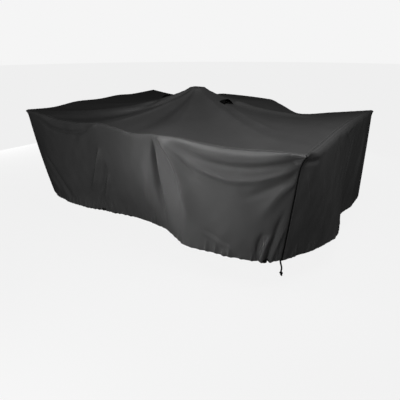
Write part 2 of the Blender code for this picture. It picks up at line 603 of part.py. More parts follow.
def main():
    clear_scene()
    cover = new_collection("patio_furniture_cover")
    cloth = plain_material("coated polyester cloth", (0.023, 0.023, 0.023), 0.60)
    vent_cloth = plain_material("black vent cloth", (0.003, 0.003, 0.003), 0.85)
    cord = plain_material("black braided cord", (0.002, 0.002, 0.002), 0.85)
    top = top_panel("top_panel", cloth, cover)
    across, deep = TOP_CELLS
    walls = {}
    for name, table, folds, layout, outward, top_cells in (
        ("front_panel", FRONT, FRONT_FOLDS, FRONT_LAYOUT, (0, -1), across),
        ("right_panel", RIGHT, RIGHT_FOLDS, RIGHT_LAYOUT, (1, 0), deep),
        ("back_panel", BACK, BACK_FOLDS, BACK_LAYOUT, (0, 1), across),
        ("left_panel", LEFT, LEFT_FOLDS, LEFT_LAYOUT, (-1, 0), deep),
    ):
        walls[name] = wall_panel(name, table, folds, layout, outward, top_cells, cloth, cover)
    bpy.context.view_layer.update()
    for name, x, y, facing in VENTS:
        vent_hood(name, x, y, facing, top, vent_cloth, cover)
    cord_end("drawcord_end", cord, cover)
    for name, travel, drop in HEM_KNOTS:
        hem_knot(name, travel, drop, walls["front_panel"], cord, cover)


main()
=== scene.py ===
# %% [markdown]
# # A fitted cover of dark coated cloth
#
# The cover hangs over a tall centre and four high edges. It is a top panel and four wall panels,
# sewn along their edges, with two hooded vents on the top and a drawcord in the hem. This lesson
# loads the solid model first, and then sews a finer cover in the same place: the cloth gets its
# small folds, its gathers along the drawcord, its laps and stitching and its woven surface.

import math

import bmesh
import bpy
import numpy as np
from mathutils import Matrix, Vector


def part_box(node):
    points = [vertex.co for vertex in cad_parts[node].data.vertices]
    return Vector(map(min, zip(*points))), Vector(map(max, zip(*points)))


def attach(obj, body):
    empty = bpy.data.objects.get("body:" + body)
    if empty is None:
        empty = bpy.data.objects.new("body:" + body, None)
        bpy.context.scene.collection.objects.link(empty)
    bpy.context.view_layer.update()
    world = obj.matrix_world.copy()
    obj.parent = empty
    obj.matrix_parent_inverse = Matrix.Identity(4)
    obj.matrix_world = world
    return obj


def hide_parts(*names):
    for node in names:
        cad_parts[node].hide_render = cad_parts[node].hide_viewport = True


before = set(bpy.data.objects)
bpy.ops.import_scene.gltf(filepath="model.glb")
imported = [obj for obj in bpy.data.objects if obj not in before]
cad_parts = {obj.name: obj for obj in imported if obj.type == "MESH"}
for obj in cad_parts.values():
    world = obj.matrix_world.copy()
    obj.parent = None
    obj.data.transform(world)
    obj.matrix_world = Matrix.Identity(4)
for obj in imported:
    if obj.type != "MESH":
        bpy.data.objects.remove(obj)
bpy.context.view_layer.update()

# %% [markdown]
# ## The camera
#
# The camera stands in front of the cover, to its right, a little over a metre and a half above
# the ground, and looks down at it. Its place, its turn and its focal length were found from the
# corners of the cover, so each of them is a plain number here and nothing is aimed by hand.

# %% the camera
CAMERA_PLACE = (1.987, -2.8965, 0.398)
CAMERA_TURN, CAMERA_DOWN, CAMERA_ROLL = (math.radians(angle) for angle in (34.4, 23.46, 0.21))
SENSOR_MM = 36.0
LENS_MM = 33.147  # 368.3 pixels in a picture of 400

camera_data = bpy.data.cameras.new("camera")
camera_data.sensor_width = SENSOR_MM
camera_data.lens = LENS_MM
camera = bpy.data.objects.new("camera", camera_data)
camera.matrix_world = (
    Matrix.Translation(CAMERA_PLACE)
    @ Matrix.Rotation(CAMERA_TURN, 4, "Z")
    @ Matrix.Rotation(math.pi / 2 - CAMERA_DOWN, 4, "X")
    @ Matrix.Rotation(-CAMERA_ROLL, 4, "Z")
)
bpy.context.scene.collection.objects.link(camera)
bpy.context.scene.camera = camera
print("camera at", CAMERA_PLACE)

# %% [markdown]
# ## Small helpers for materials
#
# A material is a tree of nodes. One function adds a node with its settings and its links, and
# one turns the hex value of a colour, as a paint chart gives it, into the linear value that the
# renderer works with. A wave texture counts 20 radians to a metre, so its scale is worked out from
# the distance between two crests.


# %% helpers for materials
def linear(hex_colour):
    channels = [int(hex_colour[i : i + 2], 16) / 255 for i in (1, 3, 5)]
    curve = [c / 12.92 if c <= 0.04045 else ((c + 0.055) / 1.055) ** 2.4 for c in channels]
    return (*curve, 1.0)


def node(tree, kind, settings=None, values=None, links=None):
    """Adds a node. values sets its inputs, and links joins an input to another node's output."""
    made = tree.nodes.new("ShaderNode" + kind)
    for key, value in (settings or {}).items():
        setattr(made, key, value)
    for key, value in (values or {}).items():
        made.inputs[key].default_value = value
    for key, (source, output) in (links or {}).items():
        tree.links.new(source.outputs[output], made.inputs[key])
    return made


def new_material(name, hex_colour, roughness, ior):
    made = bpy.data.materials.new(name)
    made.use_nodes = True
    shader = made.node_tree.nodes["Principled BSDF"]
    shader.inputs["Base Color"].default_value = linear(hex_colour)
    shader.inputs["Roughness"].default_value = roughness
    shader.inputs["IOR"].default_value = ior
    return made, made.node_tree, shader


def crests_apart(spacing):
    """The scale of a wave texture whose crests are this many metres apart."""
    return math.pi / 10 / spacing


COLOURS = {"data_type": "RGBA"}
print("white is", linear("#ffffff"))

# %% [markdown]
# ## The coated cloth
#
# The cloth is black polyester in a plain weave, with a coating of polyurethane that keeps rain
# out. The weave makes it matt, and the coating gives it a low, wide sheen where light grazes it.
# The threads are 0.5 mm apart. They are drawn 2 mm apart, because finer ones don't show here.
# Modelled threads would take millions of faces, so two waves that cross in a bump stand for them.
# Two lines of stitches hold each seam and one holds the tunnel of the drawcord. A black strip
# runs along each corner seam, and the underside and inside of the hem are painted black as painted
# shade, where the hem faces the floor. So the material reads two maps: metres along and down the
# panel, and metres from the nearest seams.

# %% sizes of the sewing
WALL_DROP = 0.84
THREAD_SPACING = 0.002
STITCH_LONG = 0.0045
STITCH_WIDE = 0.0012
STITCH_SHOWS = 0.76  # share of a stitch that lies on the outer face
STITCH_LINES = (0.004, 0.0125)  # from the seam
HEM_TUNNEL = 0.024
CORNER_STRIP_WIDE = 0.005  # on each side of a corner seam
MOTTLE_SIZE = 0.14
CRUMPLE_SIZE = 0.06
print("stitches in a metre", round(1 / STITCH_LONG))


# %% the stitches, the corner strips and the painted shade under the hem
def stitch_line(tree, across, line, along):
    """1 on the stitches of one line: across is the distance that places it, along counts them."""
    off = node(tree, "Math", {"operation": "SUBTRACT"}, {1: line}, {0: across})
    near = node(tree, "Math", {"operation": "COMPARE"}, {1: 0.0, 2: STITCH_WIDE / 2}, {0: (off, 0)})
    count = node(tree, "Math", {"operation": "DIVIDE"}, {1: STITCH_LONG}, {0: along})
    part = node(tree, "Math", {"operation": "FRACT"}, None, {0: (count, 0)})
    on = node(tree, "Math", {"operation": "COMPARE"}, {1: 0.5, 2: STITCH_SHOWS / 2}, {0: (part, 0)})
    return node(tree, "Math", {"operation": "MULTIPLY"}, None, {0: (near, 0), 1: (on, 0)}), 0


def sewing(tree, hem):
    """Where the panel is, 1 on its stitches, and 1 on its corner strips and its painted hem shade."""
    panel = node(tree, "UVMap", {"uv_map": "metres"})
    edges = node(tree, "UVMap", {"uv_map": "from_seams"})
    on_panel = node(tree, "SeparateXYZ", None, None, {0: (panel, 0)})
    to_edge = node(tree, "SeparateXYZ", None, None, {0: (edges, 0)})
    found = []
    for line in STITCH_LINES:
        found.append(stitch_line(tree, (to_edge, 0), line, (on_panel, 1)))
        found.append(stitch_line(tree, (to_edge, 1), line, (on_panel, 0)))
    if hem:
        found.append(stitch_line(tree, (on_panel, 1), WALL_DROP - HEM_TUNNEL, (on_panel, 0)))
    stitches = found[0]
    for more in found[1:]:
        stitches = node(tree, "Math", {"operation": "MAXIMUM"}, None, {0: stitches, 1: more}), 0
    corner = node(tree, "Math", {"operation": "LESS_THAN"}, {1: CORNER_STRIP_WIDE}, {0: (to_edge, 0)})
    # past the hem's turn the cloth faces the floor: painted shade, black over its underside and inside
    under = node(tree, "Math", {"operation": "GREATER_THAN"}, {1: WALL_DROP}, {0: (on_panel, 1)})
    corner_strip_and_hem_shade = node(tree, "Math", {"operation": "MAXIMUM"}, None, {0: (corner, 0), 1: (under, 0)})
    return (panel, 0), stitches, (corner_strip_and_hem_shade, 0)


print("stitch lines beside a seam", STITCH_LINES)


# %% the coated cloth
def coated_polyester(name, hem):
    made, tree, shader = new_material(name, "#2a2a2a", roughness=0.50, ior=1.46)
    panel, stitches, corner_strip_and_hem_shade = sewing(tree, hem)
    place = node(tree, "TexCoord")
    here = {"Vector": (place, "Object")}
    mottle = node(tree, "TexNoise", None, {"Scale": 1 / MOTTLE_SIZE, "Detail": 4.0}, here)
    tones = {"A": linear("#272727"), "B": linear("#2e2e2e")}
    tone = node(tree, "Mix", COLOURS, tones, {0: (mottle, "Fac")})
    thread = {"B": linear("#3a3a3a")}
    sewn = node(tree, "Mix", COLOURS, thread, {0: stitches, "A": (tone, "Result")})
    # black over the corner strips, and as painted shade over the underside of the hem
    black = {"B": linear("#060606")}
    with_strip_and_shade = node(tree, "Mix", COLOURS, black, {0: corner_strip_and_hem_shade, "A": (sewn, "Result")})
    tree.links.new((with_strip_and_shade if hem else sewn).outputs["Result"], shader.inputs["Base Color"])
    rough = node(tree, "MapRange", None, {"To Min": 0.46, "To Max": 0.54}, {0: (mottle, "Fac")})
    tree.links.new(rough.outputs[0], shader.inputs["Roughness"])
    threads = []
    for way in ("X", "Y"):
        settings = {"wave_profile": "SIN", "bands_direction": way}
        values = {"Scale": crests_apart(THREAD_SPACING)}
        threads.append(node(tree, "TexWave", settings, values, {"Vector": panel}))
    over = {0: (threads[0], "Fac"), 1: (threads[1], "Fac")}
    weave = node(tree, "Math", {"operation": "MAXIMUM"}, None, over)
    raised = node(tree, "Math", {"operation": "ADD"}, None, {0: (weave, 0), 1: stitches})
    woven = node(tree, "Bump", None, {"Strength": 0.35, "Distance": 0.0003}, {"Height": (raised, 0)})
    rumples = {"Scale": 1 / CRUMPLE_SIZE, "Detail": 5.0, "Roughness": 0.55}
    crumple = node(tree, "TexNoise", None, rumples, here)
    under = {"Height": (crumple, "Fac"), "Normal": (woven, 0)}
    bumped = node(tree, "Bump", None, {"Strength": 0.5, "Distance": 0.0025}, under)
    tree.links.new(bumped.outputs[0], shader.inputs["Normal"])
    return made


TOP_CLOTH = coated_polyester("coated woven polyester, top", False)
WALL_CLOTH = coated_polyester("coated woven polyester, hemmed", True)
print("cloth", TOP_CLOTH.name, "and", WALL_CLOTH.name)

# %% [markdown]
# ## The vent cloth and the cord
#
# The hoods and the nets in their mouths are plain black polyester without a coating. They have
# next to no sheen, so they look almost without light. The cord is braided polyester: two sets of
# yarns wind round it, one each way, so its surface has slanting bumps about 2 mm long. Both
# surfaces are two waves that cross, so one function makes them from the directions of the waves.
# The same waves darken the colour in their valleys, as painted shade, and lighten it a little on
# their crests, as a painted highlight.

# %% the vent cloth and the cord
BRAID_BUMP = 0.002
BRAID_SLANT = math.radians(35.0)


def crossed_waves(tree, spacing, ways, slants, operation):
    """Two waves on the piece, each along its own way and turned by its own slant."""
    place = node(tree, "TexCoord")
    waves = []
    for way, slant in zip(ways, slants):
        turned = node(tree, "Mapping", None, {"Rotation": (slant, slant, 0.0)}, {0: (place, "Object")})
        values = {"Scale": crests_apart(spacing)}
        waves.append(node(tree, "TexWave", {"bands_direction": way}, values, {"Vector": (turned, 0)}))
    both = {0: (waves[0], "Fac"), 1: (waves[1], "Fac")}
    return node(tree, "Math", {"operation": operation}, None, both), 0


def uncoated_polyester(name, valley, crest, ior, specular, relief, waves):
    """Black yarn with painted shade in its valleys and a faint painted highlight on its crests, which
    stand up by relief.
    """
    made, tree, shader = new_material(name, crest, roughness=0.85, ior=ior)
    shader.inputs["Specular IOR Level"].default_value = specular
    height = crossed_waves(tree, *waves)
    # painted shade and highlight: the colour is darker where the waves are low and lighter where they
    # are high
    shade = node(tree, "Mix", COLOURS, {"A": linear(valley), "B": linear(crest)}, {0: height})
    tree.links.new(shade.outputs["Result"], shader.inputs["Base Color"])
    bump = node(tree, "Bump", None, relief, {"Height": height})
    tree.links.new(bump.outputs[0], shader.inputs["Normal"])
    return made


VENT_CLOTH = uncoated_polyester(
    "black vent polyester, woven",
    valley="#040404",
    crest="#090909",
    ior=1.46,
    specular=0.06,
    relief={"Strength": 0.5, "Distance": 0.0004},
    waves=(THREAD_SPACING, ("X", "Y"), (0.0, 0.0), "MULTIPLY"),
)
CORD_BRAID = uncoated_polyester(
    "black polyester cord, braided",
    valley="#030303",
    crest="#080808",
    ior=1.5,
    specular=0.1,
    relief={"Strength": 0.8, "Distance": 0.0006},
    waves=(BRAID_BUMP, ("Z", "Z"), (BRAID_SLANT, -BRAID_SLANT), "MAXIMUM"),
)
print("trim", VENT_CLOTH.name, "and", CORD_BRAID.name)

# %% [markdown]
# ## The free end of the drawcord
#
# The drawcord runs in the hem all round and comes out at the near corner, where its free end
# hangs down and is tied in a knot. A curve with a round bevel is the plainest way to make it: its
# points are the route, and its bevel is the cord. A mesh tube swept along the points would look
# the same, but a curve is shorter to write and keeps an even, round section. The knot passes over
# and under itself three times, as an overhand knot does, and is drawn with a thinner cord, so
# that its turns can be told apart.

# %% the route of the drawcord
CORD_DIAMETER = 0.012
CORD_ROUTE = (
    (1.1964, -0.7330, -1.0441),
    (1.2000, -0.7360, -1.0560),
    (1.2090, -0.7430, -1.0700),
    (1.2160, -0.7465, -1.0850),
    (1.2170, -0.7470, -1.1010),
    (1.2140, -0.7460, -1.1170),
    (1.2130, -0.7460, -1.1250),
    (1.2140, -0.7460, -1.1310),
    (1.2160, -0.7460, -1.1380),
    (1.2180, -0.7465, -1.1440),
    (1.2220, -0.7470, -1.1530),
)


# %% cords and knots
KNOT_POINTS = 36


def cord_curve(name, points, diameter, closed=False):
    shape = bpy.data.curves.new(name, "CURVE")
    shape.dimensions = "3D"
    shape.bevel_depth = diameter / 2
    shape.bevel_resolution = 4
    shape.use_fill_caps = True
    shape.resolution_u = 4
    line = shape.splines.new("NURBS")
    line.points.add(len(points) - 1)
    for point, place in zip(line.points, points):
        point.co = (*place, 1.0)
    line.order_u = 4
    line.use_endpoint_u = not closed
    line.use_cyclic_u = closed
    made = bpy.data.objects.new(name, shape)
    bpy.context.scene.collection.objects.link(made)
    made.data.materials.append(CORD_BRAID)
    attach(made, "root")
    return made


def overhand_knot(name, centre, size, turn, diameter):
    """The cord round itself: a three-lobed knot as large as size, turned about the vertical."""
    points = []
    reach = [(whole - diameter) / 2 for whole in size]
    for angle in np.linspace(0, 2 * math.pi, KNOT_POINTS, endpoint=False):
        along = (math.sin(angle) + 2 * math.sin(2 * angle)) / 3
        through = -math.sin(3 * angle)
        up = (math.cos(angle) - 2 * math.cos(2 * angle)) / 3
        scaled = Vector([part * half for part, half in zip((along, through, up), reach)])
        points.append(Matrix.Rotation(turn, 3, "Z") @ scaled + Vector(centre))
    return cord_curve(name, points, diameter, closed=True)


# %% the drawcord and its knot
END_KNOT = (1.2150, -0.7460, -1.1345)
END_KNOT_SIZE = (0.0260, 0.0230, 0.0250)
END_KNOT_TURN = 0.6
END_KNOT_CORD = 0.0085
drawcord = cord_curve("drawcord", CORD_ROUTE, CORD_DIAMETER)
drawcord_knot = overhand_knot("drawcord_knot", END_KNOT, END_KNOT_SIZE, END_KNOT_TURN, END_KNOT_CORD)
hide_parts("drawcord_end")
print(drawcord.name, "and", drawcord_knot.name)

# %% [markdown]
# ## Where the cloth hangs
#
# A simulation would let the cloth fall in its own folds, and not in these. So each panel is a flat
# grid whose points are moved to where the cloth hangs: the seam and the hem come from stations
# round the cover, and the folds from a table of curves, each with its width and depth. The same
# tables shaped the solid model, so the finer cloth lies on it. Places are in metres from the
# underside of the tall centre: x to the right, y to the back and z up.

# %% sizes of the cover
HALF_LENGTH = 1.35
HALF_WIDTH = 0.90
CENTRE_X = -0.022
PLATEAU = 0.046
TENT_POWER = 0.62
ROLL_TALL = 1.25  # a roll is this much taller than it stands out
ROLL_LEAST = 0.008
PULL_TALL = 3.0  # and a pull inwards, a roll below zero, is this much taller than it is deep
PULL_FROM = 0.012  # and starts this far below the seam
CORNER_REACH = 0.09
HEM_TURN = 0.022
HEM_TURN_FROM = 0.965
END_EASE = 0.04  # over this distance the folds of a wall die away to its corner seams
SEAM_EASE = 0.02  # and over this share of the drop to the seam of the top
PLATEAU_EASE = 0.06  # share of the way over which the folds of the top begin
EDGE_EASE = 0.03  # and share over which they end again at the seam
OUTER_FACE = 0.003  # the cloth's outer face stands this far outside the tables' surface
CLOTH_THICKNESS = 0.0012
print("cover", 2 * HALF_LENGTH, "x", 2 * HALF_WIDTH, "m in plan, with a drop of", WALL_DROP, "m")

# %% stations of the seam and the hem
# a place on the seam and the one under it on the hem; how far the cloth stands out round the
# edge that it hangs from, and how far out its middle hangs
STATION = ("seam_x", "seam_y", "seam_z", "hem_x", "hem_y", "hem_z", "roll", "belly")
FRONT_LEFT = (-1.350, -0.900, -0.201, -1.240, -0.835, -1.042, 0.004, 0.012)
FRONT_RIGHT = (1.350, -0.900, -0.203, 1.211, -0.747, -1.042, -0.040, 0.004)
BACK_RIGHT = (1.342, 0.897, -0.212, 1.366, 0.850, -1.077, 0.004, 0.002)
BACK_LEFT = (-1.350, 0.900, -0.201, -1.245, 0.845, -1.042, 0.004, 0.020)
FRONT = (
    FRONT_LEFT,
    (-1.130, -0.895, -0.222, -1.060, -0.890, -1.042, 0.020, 0.020),
    (-0.930, -0.885, -0.247, -0.880, -0.915, -1.042, 0.034, 0.006),
    (-0.716, -0.890, -0.245, -0.680, -0.900, -1.042, 0.032, 0.004),
    (-0.527, -0.910, -0.229, -0.510, -0.856, -1.042, 0.018, 0.010),
    (-0.322, -0.940, -0.207, -0.330, -0.832, -1.042, 0.006, 0.012),
    (-0.100, -0.930, -0.231, -0.119, -0.802, -1.042, 0.006, 0.010),
    (0.030, -0.930, -0.244, 0.010, -0.800, -1.042, 0.006, 0.008),
    (0.251, -0.950, -0.222, 0.190, -0.822, -1.042, 0.004, 0.008),
    (0.453, -0.915, -0.225, 0.400, -0.905, -1.042, 0.024, 0.004),
    (0.600, -0.900, -0.237, 0.520, -0.957, -1.042, 0.036, 0.000),
    (0.800, -0.893, -0.242, 0.733, -0.924, -1.042, 0.046, 0.004),
    (1.000, -0.892, -0.230, 0.930, -0.893, -1.042, 0.046, 0.010),
    (1.200, -0.897, -0.210, 1.100, -0.835, -1.042, 0.018, 0.014),
    FRONT_RIGHT,
)
RIGHT = (
    FRONT_RIGHT,
    (1.337, -0.700, -0.206, 1.300, -0.575, -1.042, 0.032, 0.010),
    (1.334, -0.450, -0.194, 1.390, -0.370, -1.042, 0.034, 0.000),
    (1.331, -0.200, -0.182, 1.434, -0.168, -1.042, 0.034, -0.020),
    (1.330, 0.050, -0.177, 1.404, 0.010, -1.042, 0.034, -0.016),
    (1.331, 0.300, -0.180, 1.342, 0.220, -1.042, 0.032, 0.000),
    (1.338, 0.600, -0.188, 1.378, 0.520, -1.052, 0.024, 0.000),
    BACK_RIGHT,
)
BACK = (
    BACK_RIGHT,
    (1.000, 0.895, -0.265, 0.960, 0.885, -1.052, 0.030, 0.008),
    (0.660, 0.895, -0.312, 0.640, 0.890, -1.042, 0.030, 0.006),
    (0.440, 0.910, -0.240, 0.425, 0.868, -1.042, 0.016, 0.008),
    (0.300, 0.930, -0.198, 0.290, 0.850, -1.042, 0.006, 0.010),
    (-0.280, 0.930, -0.180, -0.270, 0.850, -1.042, 0.006, 0.010),
    (-0.680, 0.890, -0.254, -0.650, 0.885, -1.042, 0.030, 0.006),
    (-1.060, 0.892, -0.232, -1.000, 0.880, -1.042, 0.024, 0.010),
    BACK_LEFT,
)
LEFT = (
    BACK_LEFT,
    (-1.340, 0.500, -0.208, -1.265, 0.480, -1.042, 0.026, 0.010),
    (-1.350, 0.260, -0.197, -1.285, 0.240, -1.042, 0.020, 0.010),
    (-1.338, -0.030, -0.204, -1.265, -0.020, -1.042, 0.026, 0.006),
    (-1.350, -0.320, -0.195, -1.285, -0.300, -1.042, 0.020, 0.010),
    (-1.340, -0.640, -0.214, -1.262, -0.600, -1.042, 0.026, 0.014),
    FRONT_LEFT,
)
SAG = ("seam_x", "seam_y", "sag")
TOP_SAG = (
    (-1.350, -0.900, 0.062),
    (-0.850, -0.890, 0.072),
    (-0.322, -0.940, 0.012),
    (0.000, -0.930, 0.012),
    (0.251, -0.950, 0.012),
    (0.750, -0.890, 0.022),
    (1.350, -0.900, 0.028),
    (1.350, 0.000, 0.078),
    (1.350, 0.500, 0.098),
    (1.350, 0.900, 0.095),
    (0.800, 0.900, 0.060),
    (0.310, 0.930, 0.026),
    (0.000, 0.930, 0.024),
    (-0.280, 0.930, 0.010),
    (-0.800, 0.900, 0.058),
    (-1.350, 0.900, 0.058),
    (-1.350, 0.000, 0.072),
)
print("stations", len(FRONT) + len(RIGHT) + len(BACK) + len(LEFT) - 4)

# %% the main folds
# a curve through three places, in metres along the seam and below it, or x and y on the top; its
# half width at both ends, its height, the sharpness of its edge, and the share where it fades in
FOLD = (
    *("start_s", "start_d", "mid_s", "mid_d", "end_s", "end_d"),
    *("start_wide", "end_wide", "out", "edge", "fade_in"),
)
FOLD_STEPS = 24
FOLD_FADE_OUT = 0.35
FRONT_FOLDS = (
    (0.100, 0.020, 0.520, 0.094, 1.000, 0.030, 0.016, 0.018, -0.020, 2.0, 0.25),
    (1.020, 0.010, 0.820, 0.100, 0.640, 0.260, 0.016, 0.050, 0.012, 2.0, 0.12),
    (0.120, 0.330, 0.330, 0.600, 0.520, 0.810, 0.022, 0.030, -0.018, 1.8, 0.30),
    (0.020, 0.400, 0.160, 0.600, 0.360, 0.780, 0.030, 0.035, 0.010, 2.0, 0.30),
    (0.985, 0.170, 0.925, 0.400, 0.700, 0.750, 0.018, 0.040, 0.040, 1.7, 0.40),
    (1.010, 0.300, 0.965, 0.500, 0.800, 0.740, 0.014, 0.026, -0.022, 1.8, 0.30),
    (1.045, 0.400, 1.010, 0.560, 0.900, 0.780, 0.020, 0.034, 0.028, 1.7, 0.40),
    (1.545, 0.160, 1.500, 0.380, 1.430, 0.760, 0.034, 0.055, 0.012, 2.0, 0.50),
    (1.600, 0.000, 1.612, 0.370, 1.705, 0.820, 0.008, 0.044, -0.036, 1.5, 0.25),
    (1.605, 0.360, 1.640, 0.570, 1.700, 0.800, 0.007, 0.012, 0.006, 1.6, 0.30),
    (1.625, 0.000, 1.850, 0.230, 2.010, 0.700, 0.016, 0.090, 0.054, 1.7, 0.22),
    (1.660, 0.010, 1.880, 0.160, 2.090, 0.290, 0.010, 0.022, -0.012, 1.8, 0.15),
    (2.720, 0.055, 2.250, 0.205, 1.700, 0.030, 0.018, 0.024, 0.011, 2.0, 0.12),
    (2.730, 0.022, 2.280, 0.110, 1.780, 0.050, 0.011, 0.024, -0.017, 1.8, 0.06),
    (2.700, 0.120, 2.530, 0.235, 2.300, 0.360, 0.016, 0.040, -0.010, 2.0, 0.15),
    (2.700, 0.180, 2.590, 0.290, 2.490, 0.500, 0.018, 0.045, 0.014, 2.0, 0.15),
    (2.520, 0.900, 2.508, 0.700, 2.550, 0.560, 0.018, 0.016, -0.020, 1.8, 0.10),
    (2.555, 0.900, 2.568, 0.700, 2.620, 0.540, 0.016, 0.018, 0.016, 1.8, 0.10),
    (2.590, 0.900, 2.612, 0.620, 2.660, 0.360, 0.016, 0.020, -0.020, 1.8, 0.10),
    (2.625, 0.900, 2.645, 0.680, 2.690, 0.500, 0.014, 0.018, 0.012, 1.8, 0.10),
)
RIGHT_FOLDS = (
    (0.030, 0.060, 0.120, 0.065, 0.240, 0.075, 0.012, 0.016, -0.010, 2.0, 0.20),
    (0.640, 0.070, 0.730, 0.210, 0.800, 0.330, 0.010, 0.014, -0.008, 1.8, 0.30),
    (0.500, 0.200, 0.510, 0.400, 0.530, 0.660, 0.018, 0.026, 0.008, 2.0, 0.40),
    (0.090, 0.140, 0.130, 0.250, 0.170, 0.380, 0.010, 0.012, 0.005, 1.8, 0.30),
    (0.330, 0.200, 0.370, 0.460, 0.430, 0.800, 0.024, 0.040, 0.010, 2.0, 0.40),
    (1.120, 0.060, 1.080, 0.300, 1.000, 0.700, 0.024, 0.050, -0.016, 2.0, 0.30),
    (1.500, 0.100, 1.470, 0.400, 1.400, 0.780, 0.024, 0.050, 0.014, 2.0, 0.30),
)
BACK_FOLDS = (
    (1.030, 0.000, 0.900, 0.250, 0.700, 0.700, 0.014, 0.050, 0.022, 1.6, 0.12),
    (1.060, 0.000, 1.060, 0.330, 1.000, 0.780, 0.012, 0.044, -0.020, 1.6, 0.12),
    (1.640, 0.000, 1.660, 0.330, 1.760, 0.780, 0.012, 0.044, -0.020, 1.6, 0.12),
    (1.660, 0.000, 1.880, 0.260, 2.060, 0.680, 0.014, 0.050, 0.020, 1.6, 0.12),
    (0.080, 0.060, 0.520, 0.220, 1.000, 0.040, 0.030, 0.030, -0.016, 2.0, 0.12),
    (1.740, 0.060, 2.180, 0.200, 2.620, 0.060, 0.030, 0.030, -0.016, 2.0, 0.12),
    (0.260, 0.350, 0.300, 0.560, 0.420, 0.810, 0.024, 0.040, 0.014, 1.8, 0.12),
    (2.440, 0.330, 2.400, 0.560, 2.300, 0.810, 0.024, 0.040, 0.014, 1.8, 0.12),
)
LEFT_FOLDS = (
    (0.560, 0.020, 0.500, 0.330, 0.420, 0.780, 0.016, 0.046, 0.016, 1.7, 0.12),
    (0.640, 0.010, 0.680, 0.320, 0.720, 0.780, 0.016, 0.046, -0.018, 1.7, 0.12),
    (1.220, 0.010, 1.160, 0.320, 1.100, 0.780, 0.016, 0.046, -0.018, 1.7, 0.12),
    (1.250, 0.020, 1.310, 0.330, 1.420, 0.780, 0.016, 0.046, 0.016, 1.7, 0.12),
)
TOP_FOLDS = (
    (-0.100, -0.200, -0.160, -0.580, -0.270, -0.930, 0.010, 0.018, 0.009, 1.6, 0.20),
    (-0.170, -0.220, -0.290, -0.520, -0.460, -0.880, 0.020, 0.034, -0.012, 1.8, 0.20),
    (-0.200, -0.160, -0.400, -0.310, -0.800, -0.560, 0.012, 0.024, 0.010, 1.6, 0.20),
    (-0.300, -0.160, -0.480, -0.390, -0.900, -0.720, 0.016, 0.050, -0.014, 1.7, 0.20),
    (-0.360, -0.020, -0.700, -0.140, -1.200, -0.260, 0.016, 0.060, 0.014, 1.8, 0.15),
    (0.290, 0.085, 0.600, 0.220, 1.100, 0.320, 0.014, 0.045, 0.032, 1.5, 0.12),
    (0.360, 0.190, 0.700, 0.360, 1.150, 0.500, 0.040, 0.100, -0.034, 2.0, 0.15),
    (0.320, 0.040, 0.560, 0.110, 0.950, 0.120, 0.009, 0.022, -0.009, 1.5, 0.15),
    (0.330, -0.120, 0.600, -0.345, 0.950, -0.560, 0.010, 0.034, -0.013, 1.6, 0.15),
    (0.340, -0.070, 0.680, -0.310, 1.050, -0.520, 0.010, 0.040, 0.013, 1.6, 0.15),
    (0.000, -0.120, 0.150, -0.400, 0.280, -0.800, 0.010, 0.026, 0.006, 1.6, 0.20),
    (-0.020, 0.100, 0.000, 0.480, 0.010, 0.900, 0.030, 0.060, -0.014, 2.0, 0.12),
)
print("main folds", sum(len(t) for t in (FRONT_FOLDS, RIGHT_FOLDS, BACK_FOLDS, LEFT_FOLDS, TOP_FOLDS)))

# %% where the columns of a wall stand, at its seam and at its hem
LAYOUT = ("column", "at_seam", "at_hem")
FRONT_LAYOUT = (
    (0, 0.000, 0.000),
    (14, 0.680, 0.520),
    (22, 1.000, 0.760),
    (30, 1.100, 1.060),
    (37, 1.480, 1.400),
    (42, 1.600, 1.620),
    (62, 1.770, 2.300),
    (78, 2.720, 2.720),
)
RIGHT_LAYOUT = ((0, 0.00, 0.00), (13, 0.68, 0.54), (34, 1.80, 1.80))
BACK_LAYOUT = (
    (0, 0.00, 0.00),
    (10, 0.92, 0.64),
    (15, 1.08, 1.02),
    (19, 1.62, 1.68),
    (24, 1.78, 2.06),
    (34, 2.70, 2.70),
)
LEFT_LAYOUT = ((0, 0.0, 0.0), (22, 1.8, 1.8))
LEAN_POWER = 0.6
print("columns of the solid front", FRONT_LAYOUT[-1][0])

# %% [markdown]
# ## The small folds
#
# A drawcord makes a hem shorter than its cloth, so the cloth stands in small upright folds above
# it. They are close together where the cord is pulled tight, at the near corner and left of the
# middle, and fade out a hand's width up. They are too many for a table of each, so a row says
# where a group stands and how close its folds are, and a seeded random generator makes each one
# a little different. The few sharp creases away from the hem have rows of their own.

# %% the groups of gathers
# where a group begins and ends along the seam, and the spacing, reach and height of its folds
FRONT_GATHERS = (
    (0.10, 0.55, 0.044, 0.090, 0.0080),
    (0.58, 1.05, 0.036, 0.130, 0.0160),
    (1.08, 1.55, 0.042, 0.110, 0.0120),
    (1.60, 2.10, 0.060, 0.080, 0.0060),
    (2.10, 2.42, 0.046, 0.120, 0.0110),
    (2.44, 2.71, 0.034, 0.150, 0.0080),
)
RIGHT_GATHERS = ((0.01, 0.30, 0.040, 0.120, 0.0060), (0.30, 1.78, 0.055, 0.070, 0.0035))
BACK_GATHERS = ((0.05, 2.68, 0.055, 0.080, 0.0040),)
LEFT_GATHERS = ((0.05, 1.75, 0.050, 0.080, 0.0040),)
GATHER_BELOW = 0.10  # a gather's curve starts this far below the hem, so it is full at the hem
FRONT_CREASES = (
    (2.060, 0.625, 2.187, 0.676, 2.310, 0.735, 0.009, 0.011, -0.0045, 1.8, 0.30),
    (2.050, 0.660, 2.170, 0.708, 2.300, 0.765, 0.012, 0.014, 0.0050, 1.8, 0.30),
)
RIGHT_CREASES = (
    (0.810, 0.020, 0.910, 0.090, 1.000, 0.180, 0.007, 0.010, 0.0060, 1.6, 0.15),
    (1.020, 0.030, 0.920, 0.050, 0.800, 0.070, 0.007, 0.009, 0.0060, 1.6, 0.20),
)
print("groups", sum(len(t) for t in (FRONT_GATHERS, RIGHT_GATHERS, BACK_GATHERS, LEFT_GATHERS)))


